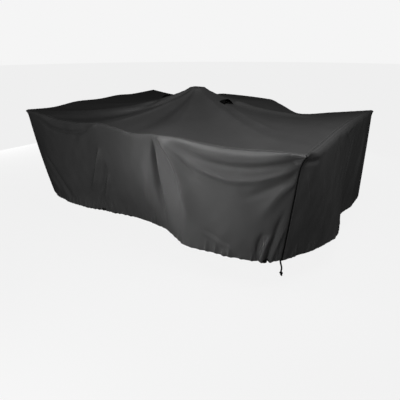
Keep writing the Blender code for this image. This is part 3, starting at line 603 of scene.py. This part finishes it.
# %% the gathers
def gathers(groups, seed):
    """Rows of folds, as the table of main folds has them."""
    random = np.random.default_rng(seed)
    rows = []
    for from_s, to_s, spacing, reach, out in groups:
        s = from_s + spacing * 0.5
        while s < to_s:
            tall = reach * random.uniform(0.5, 1.4)
            lean = tall * random.uniform(-0.35, 0.35)
            wide = spacing * random.uniform(0.20, 0.34)
            high = out * random.uniform(0.4, 1.3)
            start = (s, WALL_DROP + GATHER_BELOW)
            end = (s + lean, WALL_DROP - tall)
            middle = ((start[0] + end[0]) / 2, (start[1] + end[1]) / 2)
            rows.append((*start, *middle, *end, wide, wide * 0.9, high, 1.8, 0.12))
            s += spacing * random.uniform(0.65, 1.45)
    return tuple(rows)


FRONT_SMALL = gathers(FRONT_GATHERS, seed=3) + FRONT_CREASES
RIGHT_SMALL = gathers(RIGHT_GATHERS, seed=4) + RIGHT_CREASES
BACK_SMALL = gathers(BACK_GATHERS, seed=5)
LEFT_SMALL = gathers(LEFT_GATHERS, seed=6)
print("gathers", sum(len(t) for t in (FRONT_SMALL, RIGHT_SMALL, BACK_SMALL, LEFT_SMALL)))

# %% [markdown]
# ## From tables to a surface
#
# Each function here takes arrays of points of the flat panel and gives the places where they
# hang. A curve through the stations must not swing past them, so it is the kind of cubic whose
# slope is zero at every high and low point.


# %% curves through the tables
def column(table, names, name):
    return np.array([row[names.index(name)] for row in table])


def smooth_through(knots, values, at):
    """A curve through every value that never overshoots between two of them."""
    knots = np.asarray(knots, float)
    values = np.asarray(values, float)
    gap = np.diff(knots)
    slope = np.diff(values) / gap
    tangent = np.empty_like(values)
    tangent[0] = slope[0]
    tangent[-1] = slope[-1]
    same_way = slope[:-1] * slope[1:] > 0
    weight_a = 2 * gap[1:] + gap[:-1]
    weight_b = gap[1:] + 2 * gap[:-1]
    with np.errstate(divide="ignore", invalid="ignore"):
        mean = (weight_a + weight_b) / (weight_a / slope[:-1] + weight_b / slope[1:])
    tangent[1:-1] = np.where(same_way, mean, 0.0)
    cell = np.clip(np.searchsorted(knots, at) - 1, 0, len(gap) - 1)
    t = np.clip((at - knots[cell]) / gap[cell], 0.0, 1.0)
    rise = values[cell + 1] - values[cell]
    bend_a = tangent[cell] * gap[cell]
    bend_b = tangent[cell + 1] * gap[cell]
    cubic = bend_a + bend_b - 2 * rise
    square = 3 * rise - 2 * bend_a - bend_b
    return values[cell] + t * (bend_a + t * (square + t * cubic))


def seam_travel(table):
    """Distance round the seam of each station, in plan."""
    x = column(table, STATION, "seam_x")
    y = column(table, STATION, "seam_y")
    return np.concatenate([[0.0], np.cumsum(np.hypot(np.diff(x), np.diff(y)))])


print("seams", [round(float(seam_travel(t)[-1]), 3) for t in (FRONT, RIGHT, BACK, LEFT)], "m")

# %% the height of the folds
FOLD_REACH = 4.0  # half widths, beyond which a fold does nothing


def one_fold(row, s, d):
    fold = dict(zip(FOLD, row))
    t = np.linspace(0, 1, FOLD_STEPS + 1)
    shares = (1 - t) * (1 - 2 * t), 4 * t * (1 - t), t * (2 * t - 1)
    path_s = sum(share * fold[name] for share, name in zip(shares, ("start_s", "mid_s", "end_s")))
    path_d = sum(share * fold[name] for share, name in zip(shares, ("start_d", "mid_d", "end_d")))
    far = FOLD_REACH * max(fold["start_wide"], fold["end_wide"])
    near = (s > path_s.min() - far) & (s < path_s.max() + far)
    near &= (d > path_d.min() - far) & (d < path_d.max() + far)
    step_s, step_d = np.diff(path_s), np.diff(path_d)
    from_s, from_d = s[near][:, None] - path_s[:-1], d[near][:, None] - path_d[:-1]
    along = np.clip((from_s * step_s + from_d * step_d) / (step_s**2 + step_d**2), 0, 1)
    away = np.hypot(from_s - along * step_s, from_d - along * step_d)
    nearest = np.argmin(away, axis=-1)[..., None]
    away = np.take_along_axis(away, nearest, -1)[..., 0]
    along = (nearest + np.take_along_axis(along, nearest, -1))[..., 0] / FOLD_STEPS
    wide = fold["start_wide"] + (fold["end_wide"] - fold["start_wide"]) * along
    fade = np.minimum(1.0, along / fold["fade_in"]) * np.minimum(1.0, (1 - along) / FOLD_FADE_OUT)
    fade = fade * fade * (3 - 2 * fade)
    height = np.zeros(np.shape(s))
    height[near] = fold["out"] * fade * np.exp(-((away / wide) ** fold["edge"]))
    return height


def fold_height(folds, s, d):
    """How far all the folds together move the cloth at the points (s, d)."""
    return sum((one_fold(row, s, d) for row in folds), np.zeros(np.shape(s)))


print("the highest fold of the front stands out", column(FRONT_FOLDS, FOLD, "out").max(), "m")

# %% [markdown]
# ## Seams and slack
#
# A panel's edge is folded under before it is sewn, so it lies double beside the seam, and its
# stitches draw the cloth up in puckers. Away from the seams real cloth is never quite even. Most
# of this is only a millimetre or two high. It could be left to a bump in the material, but in the
# mesh it catches the light and bends the outline too, so each of these functions gives a height
# for the points of a panel.

# %% laps and puckers
LAP_WIDE = 0.016  # the folded edge that lies on the next panel
LAP_HIGH = 0.0022
WALL_LAP_HIGH = 0.0010
LAP_STEP = 0.0025  # over this distance the lap falls away
LAP_RISE = 0.002  # and over this distance it rises from the seam
PUCKERS = ((0.027, 1.0), (0.017, 0.7), (0.042, 0.5))  # from crest to crest, and share of the height
PUCKER_HIGH = 0.0006
PUCKER_REACH = 0.020
PUCKER_EASE = 0.004  # over this distance the puckers of a wall begin below the seam


def ease(distance, over):
    """0 at a distance of nothing, and 1 from the distance over which something begins."""
    return np.clip(distance / over, 0, 1)


def pucker(along, away):
    """Small waves that a line of stitches draws up on both its sides."""
    turns = [(along / length + share, share) for length, share in PUCKERS]
    waves = sum(share * np.sin(2 * math.pi * turn) for turn, share in turns)
    return PUCKER_HIGH * waves * np.exp(-away / PUCKER_REACH)


def lap(away, high):
    """The folded edge of a panel, which lies double beside its seam."""
    inside = ease(LAP_WIDE - away, LAP_STEP)
    return high * inside * inside * (3 - 2 * inside) * ease(away, LAP_RISE)


print("the top laps over its walls by", LAP_WIDE, "m")

# %% the slack of the cloth, and its seams
SLACK_WAVES = 16
SLACK_LENGTHS = (0.10, 0.36)  # from crest to crest, in metres
SLACK_SLOPE = 0.0040  # height of a wave, as a share of its length
SLACK_LEAN = 35.0  # degrees that a wave may lean from the upright
SLACK_EASE = 0.05  # over this distance the slack begins beside a seam
CORNER_GROOVE = 0.008  # depth of a corner seam between its two walls
CORNER_WIDE = 0.014  # width of the groove on the wall that lies below
LAPPED_WIDE = 0.0025  # and on the one that laps over it
CORNER_EASE = 0.08  # over this distance the groove begins below the top's corner
SEAM_GROOVE = 0.004
GROOVE_WIDE = 0.008
CORNER_LIP = 4.0  # above 1 the groove under the top's seam turns into a lip towards the corners


def slack(s, d, seed):
    """Low waves that lie across each other, so that no stretch of the cloth is quite even."""
    random = np.random.default_rng(seed)
    height = np.zeros(np.shape(s))
    for _ in range(SLACK_WAVES):
        long = random.uniform(*SLACK_LENGTHS)
        lean = math.radians(random.uniform(-SLACK_LEAN, SLACK_LEAN))
        phase, swell = random.uniform(0, 2 * math.pi, 2)
        across = s * math.cos(lean) + d * math.sin(lean)
        along = d * math.cos(lean) - s * math.sin(lean)
        grows = 0.5 + 0.5 * np.sin(2 * math.pi * along / (4 * long) + swell)
        height += SLACK_SLOPE * long * np.sin(2 * math.pi * across / long + phase) * grows
    return height


def corner_groove(away, lapped):
    """Two walls are drawn in towards each other where they are sewn, most of all the one below."""
    return CORNER_GROOVE * np.exp(-((away / (LAPPED_WIDE if lapped else CORNER_WIDE)) ** 2))


def seam_groove(down):
    """A wall is drawn in just under the seam of the top."""
    return SEAM_GROOVE * down / GROOVE_WIDE * np.exp(1 - down / GROOVE_WIDE)


print("a wave of the slack is up to", round(SLACK_SLOPE * SLACK_LENGTHS[1], 4), "m high")

# %% [markdown]
# ## Where the panels hang
#
# A wall runs from its seam straight to its hem, and its folds, the roll round the edge that it
# hangs from, the belly of its middle and the turn of its hem stand out of that. The top falls
# from the tall centre to its seam and sags between them. Its grid is a square drawn out to the
# seam, ring by ring, so that the edge of the grid is the seam whatever its shape.

# %% where a wall hangs
def wall_surface(table, folds, outward, travel, drop):
    """Points of a wall and the way out of it. travel is metres along the seam, drop 0 to 1."""
    knots = seam_travel(table)
    at = {name: smooth_through(knots, column(table, STATION, name), travel) for name in STATION}
    seam = np.stack([at["seam_x"], at["seam_y"], at["seam_z"]], axis=-1)
    hem = np.stack([at["hem_x"], at["hem_y"], at["hem_z"]], axis=-1)
    along = np.array([-outward[1], outward[0]])
    near_start = np.exp(-travel / CORNER_REACH)
    near_end = np.exp(-(knots[-1] - travel) / CORNER_REACH)
    plan = outward + (near_end - near_start)[..., None] * along
    plan /= np.linalg.norm(plan, axis=-1, keepdims=True)
    outwards = at["roll"] > 0
    tall = np.where(outwards, ROLL_TALL, PULL_TALL) * np.abs(at["roll"]) + ROLL_LEAST
    start = np.where(outwards, 0.0, PULL_FROM)
    bent = 1 - (1 - np.clip((drop * WALL_DROP - start) / tall, 0, 1)) ** 2
    roll = at["roll"] * np.where(outwards, np.sqrt(bent), bent) * (1 - drop)
    belly = at["belly"] * 4 * drop * (1 - drop)
    in_from_ends = np.clip(np.minimum(travel, knots[-1] - travel) / END_EASE, 0.0, 1.0)
    in_from_seam = np.clip(drop / SEAM_EASE, 0.0, 1.0)
    folded = fold_height(folds, travel, drop * WALL_DROP) * in_from_ends * in_from_seam
    turned = HEM_TURN * (np.clip((drop - HEM_TURN_FROM) / (1 - HEM_TURN_FROM), 0, 1)) ** 2
    points = seam + (hem - seam) * drop[..., None]
    points[..., :2] += plan * (roll + belly + folded - turned)[..., None]
    return points, plan


middle, _ = wall_surface(FRONT, FRONT_FOLDS, np.array([0, -1]), np.array([HALF_LENGTH]), np.array([0.5]))
print("the front's middle hangs at", middle[0].round(3))


# %% where the top hangs
def sag_by_turn():
    """The sag table by angle round the centre, with one row more at each end so that it joins up."""
    turn = np.arctan2(
        column(TOP_SAG, SAG, "seam_y") / HALF_WIDTH,
        column(TOP_SAG, SAG, "seam_x") / HALF_LENGTH,
    )
    order = np.argsort(turn)
    turn = turn[order]
    sag = column(TOP_SAG, SAG, "sag")[order]
    turn = np.concatenate([[turn[-1] - 2 * math.pi], turn, [turn[0] + 2 * math.pi]])
    return turn, np.concatenate([[sag[-1]], sag, [sag[0]]])


def top_edge(a, b):
    """The seam at the edge point (a, b) of the top's square, and the sag towards it."""
    found = {name: np.zeros_like(a) for name in ("x", "y", "z")}
    for table, on_side, share in (
        (FRONT, b <= -1 + 1e-9, (a + 1) / 2),
        (RIGHT, a >= 1 - 1e-9, (b + 1) / 2),
        (BACK, b >= 1 - 1e-9, (1 - a) / 2),
        (LEFT, a <= -1 + 1e-9, (1 - b) / 2),
    ):
        knots = seam_travel(table)
        travel = np.clip(share, 0, 1) * knots[-1]
        for name in ("x", "y", "z"):
            values = smooth_through(knots, column(table, STATION, "seam_" + name), travel)
            found[name] = np.where(on_side, values, found[name])
    turn = np.arctan2(found["y"] / HALF_WIDTH, found["x"] / HALF_LENGTH)
    found["sag"] = smooth_through(*sag_by_turn(), turn)
    return found


def top_surface(a, b):
    """Points of the top. (a, b) runs over a square of side 2, with the tall centre in its middle."""
    ring = np.maximum(np.abs(a), np.abs(b))
    safe = np.maximum(ring, 1e-9)
    edge = top_edge(a / safe, b / safe)
    out = np.clip((ring - PLATEAU) / (1 - PLATEAU), 0.0, 1.0)
    x = CENTRE_X + (edge["x"] - CENTRE_X) * ring
    y = edge["y"] * ring
    z = edge["z"] * out**TENT_POWER - edge["sag"] * np.sin(math.pi * out)
    inside = np.clip((1 - ring) / EDGE_EASE, 0, 1) * np.clip((ring - PLATEAU) / PLATEAU_EASE, 0, 1)
    z += fold_height(TOP_FOLDS, x, y) * inside
    return np.stack([x, y, z], axis=-1)


print("the top's near corner is at", top_surface(np.array([1.0]), np.array([-1.0]))[0].round(3))

# %% [markdown]
# ## A sheet of cloth
#
# A grid is the natural start for cloth: its threads run in rows and columns too. Every point of
# the grid is moved to its place, and a Solidify modifier then gives the sheet its thickness,
# inwards, so that the outer face stays where it was put. Two maps go with it for the material.


# %% a sheet of cloth
def cloth_sheet(name, across, down, points, metres, from_seams, thickness, material):
    """points, metres and from_seams hold one row for each corner of the grid, row by row."""
    shape = bmesh.new()
    bmesh.ops.create_grid(shape, x_segments=across, y_segments=down, size=0.5)
    flat = np.array([vertex.co[:2] for vertex in shape.verts]) + 0.5
    mesh = bpy.data.meshes.new(name)
    shape.to_mesh(mesh)
    shape.free()
    i = np.rint(flat[:, 0] * across).astype(int)
    j = np.rint(flat[:, 1] * down).astype(int)
    order = j * (across + 1) + i
    mesh.vertices.foreach_set("co", points[order].ravel())
    corner = np.empty(len(mesh.loops), int)
    mesh.loops.foreach_get("vertex_index", corner)
    for key, values in (("metres", metres), ("from_seams", from_seams)):
        layer = mesh.uv_layers.new(name=key)
        layer.data.foreach_set("uv", values[order][corner].astype(np.float32).ravel())
    mesh.polygons.foreach_set("use_smooth", np.ones(len(mesh.polygons), bool))
    mesh.update()
    made = bpy.data.objects.new(name, mesh)
    bpy.context.scene.collection.objects.link(made)
    made.data.materials.append(material)
    thick = made.modifiers.new("cloth thickness", "SOLIDIFY")
    thick.thickness = thickness
    thick.offset = -1.0
    thick.use_even_offset = True
    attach(made, "root")
    return made


# %% [markdown]
# ## The top panel
#
# The top is cut in one piece. The rows of its grid are close together at the edges, where the
# lap of the seam lies, and about 13 mm apart elsewhere, which is fine enough for its folds.


# %% the top panel
TOP_COLUMNS = 196
TOP_ROWS = 132
LAP_LINES = (0.003, LAP_WIDE - LAP_STEP, LAP_WIDE - LAP_STEP / 2, LAP_WIDE)  # from the seam
LINE_GAP = 0.004  # the next line is at least this far from them


def lines_with_edges(count, half):
    """Places from -1 to 1 on a side of this half length, with the lines of the laps at both ends."""
    even = np.linspace(-1, 1, count + 1)[1:-1]
    ends = 1 - np.array([0.0, *LAP_LINES, LAP_WIDE + LINE_GAP]) / half
    even = even[np.abs(even) < ends[-1] - LINE_GAP]
    return np.concatenate([-ends, even, ends[::-1]])


def make_top():
    a_lines = lines_with_edges(TOP_COLUMNS, HALF_LENGTH)
    b_lines = lines_with_edges(TOP_ROWS, HALF_WIDTH)
    a, b = (part.ravel() for part in np.meshgrid(a_lines, b_lines))
    points = top_surface(a, b)
    to_side = (1 - np.abs(a)) * HALF_LENGTH
    to_front = (1 - np.abs(b)) * HALF_WIDTH
    nearest = np.minimum(to_side, to_front)
    along = np.where(to_side < to_front, points[:, 1], points[:, 0])
    points[:, 2] += OUTER_FACE + lap(nearest, LAP_HIGH) + pucker(along, nearest)
    metres = np.stack([(a + 1) * HALF_LENGTH, (b + 1) * HALF_WIDTH], axis=-1)
    edges = np.stack([to_side, to_front], axis=-1)
    across, down = len(a_lines) - 1, len(b_lines) - 1
    return cloth_sheet("top_cloth", across, down, points, metres, edges, CLOTH_THICKNESS, TOP_CLOTH)


top_cloth = make_top()
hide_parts("top_panel")
print("top", len(top_cloth.data.polygons), "faces")

# %% [markdown]
# ## The wall panels
#
# A wall hangs from its seam. Its edge is turned up inside to make the tunnel of the drawcord, so
# the grid goes on past the hem: round a small radius and a little way up the inside. The columns
# lean with the long folds, because a fold that runs along a column stays smooth. Two of the walls
# lap over the other two at the corners.

# %% the rows of a wall
HEM_RADIUS = 0.0080
HEM_BULGE = 0.0045
SEAM_TURN = 0.008  # the outer face is above the tables' surface at the seam, and beside it from here
ROW_SPACING = 0.0112  # the same on all four walls, so that their corner seams meet row by row
ROWS_AT_SEAM = (0.0, 0.002, 0.005, 0.009, 0.014, 0.020, 0.028)
ROWS_AT_HEM = (1.7, 1.35, 1.1, 1.0, 0.9, 0.7, 0.45, 0.2)  # tunnels above the hem
HEM_CURL = (40, 80, 120, 160)  # degrees round the hem
ROWS_INSIDE = (0.004, 0.014, HEM_TUNNEL)  # up from the hem


def wall_rows():
    """drop, metres inwards and metres down of each row, from the seam, round the hem and up."""
    near_seam = np.array(ROWS_AT_SEAM)
    near_hem = WALL_DROP - HEM_TUNNEL * np.array(ROWS_AT_HEM)
    count = int((near_hem[0] - near_seam[-1]) / ROW_SPACING)
    between = np.linspace(near_seam[-1], near_hem[0], count + 1)[1:-1]
    down = np.concatenate([near_seam, between, near_hem, [WALL_DROP]])
    turn = np.radians(HEM_CURL)
    up = np.array(ROWS_INSIDE)
    level, flat = np.zeros_like(down), np.zeros_like(up)
    outside = np.stack([down / WALL_DROP, level, level], axis=-1)
    curl = [np.ones_like(turn), HEM_RADIUS * (1 - np.cos(turn)), HEM_RADIUS * np.sin(turn)]
    inside = np.stack([1 - up / WALL_DROP, flat + 2 * HEM_RADIUS, flat], axis=-1)
    return np.concatenate([outside, np.stack(curl, axis=-1), inside])


print("rows of a wall", len(wall_rows()))

# %% the columns of a wall
FRONT_COLUMNS, RIGHT_COLUMNS, BACK_COLUMNS, LEFT_COLUMNS = 390, 238, 272, 176
COLUMN_GAP = 0.0012  # a column this close to a line of the laps is left out


def wall_stands(layout, columns, length):
    """Where the columns stand in the layout, with some more beside both corner seams."""
    stand = column(layout, LAYOUT, "column")
    even = np.linspace(0, stand[-1], columns + 1)
    at_seam = smooth_through(stand, column(layout, LAYOUT, "at_seam"), even) * length / layout[-1][1]
    close = np.array(LAP_LINES)
    wanted = np.concatenate([close, length - close])
    keep = [k for k, s in enumerate(at_seam) if np.abs(wanted - s).min() > COLUMN_GAP]
    return np.sort(np.concatenate([even[keep], np.interp(wanted, at_seam, even)]))


def wall_travel(layout, columns, length, rows):
    """Metres along the seam of each column, for each row."""
    stand = column(layout, LAYOUT, "column")
    stands = wall_stands(layout, columns, length)
    at_seam, at_hem = (
        smooth_through(stand, column(layout, LAYOUT, end), stands) * length / layout[-1][1]
        for end in ("at_seam", "at_hem")
    )
    return at_seam[None, :] + (at_hem - at_seam)[None, :] * rows[:, :1] ** LEAN_POWER


print("columns of the front", len(wall_stands(FRONT_LAYOUT, FRONT_COLUMNS, seam_travel(FRONT)[-1])))


# %% a wall panel
def wall_detail(travel, down, to_side, lapped, seed):
    """How far the seams, the slack and the hem move the cloth outwards."""
    detail = pucker(down, to_side) + pucker(travel, down) * ease(down, PUCKER_EASE)
    detail += slack(travel, down, seed) * ease(to_side, SLACK_EASE) * ease(down, SLACK_EASE)
    detail -= corner_groove(to_side, lapped) * ease(down, CORNER_EASE)
    detail -= seam_groove(down) * (1 - CORNER_LIP * np.exp(-to_side / CORNER_REACH))
    if lapped:
        detail += lap(to_side, WALL_LAP_HIGH)
    return detail + HEM_BULGE * np.sin(math.pi * ease(WALL_DROP - down, HEM_TUNNEL))


def make_wall(name, table, folds, layout, outward, columns, lapped, seed):
    length = seam_travel(table)[-1]
    rows = wall_rows()[::-1]  # the grid counts its rows from below
    spread = wall_travel(layout, columns, length, rows)
    travel = spread.ravel()
    drop, inwards, below = (np.repeat(part, spread.shape[1]) for part in rows.T)
    down = drop * WALL_DROP
    to_side = np.minimum(travel, length - travel)
    points, plan = wall_surface(table, folds, np.array(outward, float), travel, drop)
    up = np.clip(1 - down / SEAM_TURN, 0, 1)
    out = OUTER_FACE * (1 - up) + wall_detail(travel, down, to_side, lapped, seed) - inwards
    points[:, :2] += plan * out[:, None]
    points[:, 2] += OUTER_FACE * up - below
    round_hem = np.concatenate([[0], np.cumsum(np.abs(np.diff(rows[::-1, 1])))])[::-1]
    metres = np.stack([travel, down + np.repeat(round_hem, spread.shape[1])], axis=-1)
    edges = np.stack([to_side, down], axis=-1)
    across, high = spread.shape[1] - 1, spread.shape[0] - 1
    made = cloth_sheet(name, across, high, points, metres, edges, CLOTH_THICKNESS, WALL_CLOTH)
    return made


FRONT_ALL, RIGHT_ALL = FRONT_FOLDS + FRONT_SMALL, RIGHT_FOLDS + RIGHT_SMALL
BACK_ALL, LEFT_ALL = BACK_FOLDS + BACK_SMALL, LEFT_FOLDS + LEFT_SMALL
# name, solid, stations, folds, layout, way out, columns, whether it laps, seed of its slack
for name, solid, *how in (
    ("front_cloth", "front_panel", FRONT, FRONT_ALL, FRONT_LAYOUT, (0, -1), FRONT_COLUMNS, False, 11),
    ("right_cloth", "right_panel", RIGHT, RIGHT_ALL, RIGHT_LAYOUT, (1, 0), RIGHT_COLUMNS, True, 12),
    ("back_cloth", "back_panel", BACK, BACK_ALL, BACK_LAYOUT, (0, 1), BACK_COLUMNS, False, 13),
    ("left_cloth", "left_panel", LEFT, LEFT_ALL, LEFT_LAYOUT, (-1, 0), LEFT_COLUMNS, True, 14),
):
    wall = make_wall(name, *how)
    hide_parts(solid)
    print(wall.name, len(wall.data.polygons), "faces")

# %% [markdown]
# ## The vents
#
# A vent is a hole in the top with a net over it and a hood over the net. The hood is a half dome
# of cloth that is sewn down on three sides and open on the fourth, so that rain runs over it and
# air gets out. Both are the same sheet, one high and one flat. Each point is lifted from the cloth
# under it, which a ray finds, so a vent sits on the top wherever that slopes.

# %% sizes of the vents
VENT_ACROSS = 0.150
VENT_DEEP = 0.075
VENT_HIGH = 0.036
VENT_SWEEP = 0.020
VENT_BACK_SHARE = 0.40
VENT_CELLS = (30, 18)
VENT_RISE = 0.7  # below 1 a hood rises fastest at its back
VENT_CROWN = 2.5  # above 2 a hood is flatter than round across its middle
# name, x and y of the middle of its mouth, and the way that faces along x
VENTS = (("vent_right", 0.352, -0.052, 1.0), ("vent_left", -0.400, 0.000, -1.0))
# share of the vent's width and depth, height over the cloth at its sewn edge and at its open side,
# thickness, and the half ellipse that is cut, as a share of its rectangle
VENT_LAYER = ("share", "clear", "high", "thickness", "cut")
HOOD = dict(zip(VENT_LAYER, (1.00, 0.0022, VENT_HIGH, 0.0015, 0.66)))
NET = dict(zip(VENT_LAYER, (0.96, 0.0009, 0.0, 0.0005, 0.59)))
print("a hood is", VENT_ACROSS, "x", VENT_DEEP + VENT_SWEEP, "m, and stands", VENT_HIGH, "m high")


# %% the hoods and the nets
def cloth_under(surface, x, y):
    """The height of the top at (x, y), seen from a metre above the tall centre."""
    hit, where, _, _ = surface.ray_cast(Vector((x, y, 1.0)), Vector((0, 0, -1)))
    return where.z if hit else 0.0


def vent_sheet(name, x, y, facing, layer):
    """A half ellipse of cloth over the top, sewn down round its back and high at its open side."""
    share = layer["share"]
    across_lines, down_lines = (np.linspace(0, 1, count + 1) for count in VENT_CELLS)
    u, v = (part.ravel() for part in np.meshgrid(across_lines, down_lines))
    across = (2 * u - 1) * share
    forward = v if facing > 0 else 1 - v
    forward = 1 - share + share * forward
    bow = np.sqrt(1 - (1 - forward) ** 2)
    half = VENT_ACROSS / 2 * (VENT_BACK_SHARE + (1 - VENT_BACK_SHARE) * bow)
    swept = VENT_SWEEP * (1 - across**2) * forward
    at_x = x - facing * (VENT_DEEP * (1 - forward) + swept)
    at_y = y + across * half
    rise = layer["high"] * forward**VENT_RISE * (1 - np.abs(across) ** VENT_CROWN)
    surface = top_cloth.evaluated_get(bpy.context.evaluated_depsgraph_get())
    under = np.array([cloth_under(surface, *point) for point in zip(at_x, at_y)])
    points = np.stack([at_x, at_y, under + layer["clear"] + rise], axis=-1)
    metres = np.stack([at_x - at_x.min(), at_y - at_y.min()], axis=-1)
    made = cloth_sheet(name, *VENT_CELLS, points, metres, metres, layer["thickness"], VENT_CLOTH)
    return made


bpy.context.view_layer.update()
for name, x, y, facing in VENTS:
    hood = vent_sheet(name + "_hood", x, y, facing, HOOD)
    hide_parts(name)
    net = vent_sheet(name + "_net", x, y, facing, NET)
    print(hood.name, "and", net.name)

# %% [markdown]
# ## The knots on the hem
#
# Where the two ends of a cord come together in the tunnel they are knotted, and the knots show
# as small black lumps on the hem. They are the same knot as the drawcord's, a little larger than
# their plain solids, because the hem's bulge hides a part of them.

# %% the knots on the hem
HEM_KNOT_SIZE = (0.040, 0.022, 0.028)  # along the hem, out of it, up
HEM_KNOT_CORD = 0.0095
for name in ("hem_knot_left", "hem_knot_right"):
    low, high = (Vector(corner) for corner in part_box(name))
    middle = (low + high) / 2
    knot = overhand_knot(name + "_cord", middle, HEM_KNOT_SIZE, 0.0, HEM_KNOT_CORD)
    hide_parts(name)
    print(knot.name, [round(x, 4) for x in middle])

# %% [markdown]
# ## Floor and light
#
# The floor is plain and pale. The main light is a large soft lamp in front of the right half of
# the cover and one above its right end, which is why the front is brightest there and the right
# end lies in shade. A lamp on each of the other three sides keeps it from going black, and two
# narrow beams pick out the folds in the middle of the front. These lamps light the cloth's colour
# only. Its sheen comes from a lamp of its own above the front seam, which shows in the gloss and
# nowhere else, so the bright band under the seam is set apart from the rest. The world is a low
# even light from all round, and is shown pale to the camera, so the floor has no far edge.

# %% the floor
GROUND_Z = -1.292
FLOOR_RADIUS = 30.0
FLOOR_GLOW = 0.945
shape = bmesh.new()
bmesh.ops.create_circle(shape, cap_ends=True, radius=FLOOR_RADIUS, segments=64)
bmesh.ops.translate(shape, vec=(0, 0, GROUND_Z), verts=shape.verts)
floor_mesh = bpy.data.meshes.new("floor")
shape.to_mesh(floor_mesh)
shape.free()
floor = bpy.data.objects.new("floor", floor_mesh)
bpy.context.scene.collection.objects.link(floor)
floor_paint, _, floor_shader = new_material(
    "matt white floor paint", "#242424", roughness=0.9, ior=1.45
)
floor_shader.inputs["Specular IOR Level"].default_value = 0.0
floor_shader.inputs["Emission Color"].default_value = linear("#f5f5f5")
floor_shader.inputs["Emission Strength"].default_value = FLOOR_GLOW
floor.data.materials.append(floor_paint)
floor.visible_diffuse = False
floor.visible_glossy = False
print("floor at", GROUND_Z)

# %% the world
WORLD_LIGHT = 0.025
world = bpy.data.worlds.new("studio")
world.use_nodes = True
bpy.context.scene.world = world
tree = world.node_tree
background = tree.nodes["Background"]
background.inputs["Color"].default_value = linear("#ffffff")
background.inputs["Strength"].default_value = WORLD_LIGHT
seen = node(tree, "Background", None, {"Color": linear("#f5f5f5"), "Strength": 1.0})
path = node(tree, "LightPath")
choice = {0: (path, "Is Camera Ray"), 1: (background, 0), 2: (seen, 0)}
mixed = node(tree, "MixShader", None, None, choice)
tree.links.new(mixed.outputs[0], tree.nodes["World Output"].inputs["Surface"])
print("world", world.name)

# %% the lights
LAMP_SIZE = 1.2
BEAM_SIZE = 0.4
MIDDLE = (0.4, -0.4, -0.3)
FRONT_WALL = (0.9, -0.9, -0.5)
FRONT_SEAM = (0.90, -0.93, -0.25)
FAN = (0.5, -0.95, -0.6)  # of folds, in the middle of the front


def soft_light(name, place, target, power, size=LAMP_SIZE, spread=180.0, sheen=False):
    data = bpy.data.lights.new(name, "AREA")
    data.energy = power
    data.size = size
    data.spread = math.radians(spread)
    made = bpy.data.objects.new(name, data)
    aim = Vector(target) - Vector(place)
    turn = aim.to_track_quat("-Z", "Y").to_matrix().to_4x4()
    made.matrix_world = Matrix.Translation(place) @ turn
    made.visible_camera = False
    made.visible_diffuse = not sheen
    made.visible_glossy = sheen
    bpy.context.scene.collection.objects.link(made)
    return made


soft_light("front lamp", (0.60, -3.20, -0.30), FRONT_WALL, 110.0)
soft_light("top lamp", (1.60, -0.90, 1.20), MIDDLE, 80.0)
soft_light("right lamp", (4.20, -0.30, -0.60), (1.3, 0.0, -0.5), 34.0)
soft_light("back lamp", (0.00, 3.60, -0.95), (0.0, 0.9, -0.6), 100.0)
soft_light("left lamp", (-4.20, 0.30, -0.80), (-1.3, 0.0, -0.6), 80.0)
soft_light("upper beam", (0.00, -1.60, 0.30), FAN, 1.8, size=BEAM_SIZE, spread=60.0)
soft_light("side beam", (-0.80, -1.70, -0.40), FAN, 3.6, size=BEAM_SIZE, spread=40.0)
soft_light("sheen lamp", (0.10, -1.40, 1.15), FRONT_SEAM, 18.0, size=0.8, sheen=True)
bpy.context.scene.view_settings.view_transform = "Standard"

# %% the scene brought up to date
bpy.context.view_layer.update()
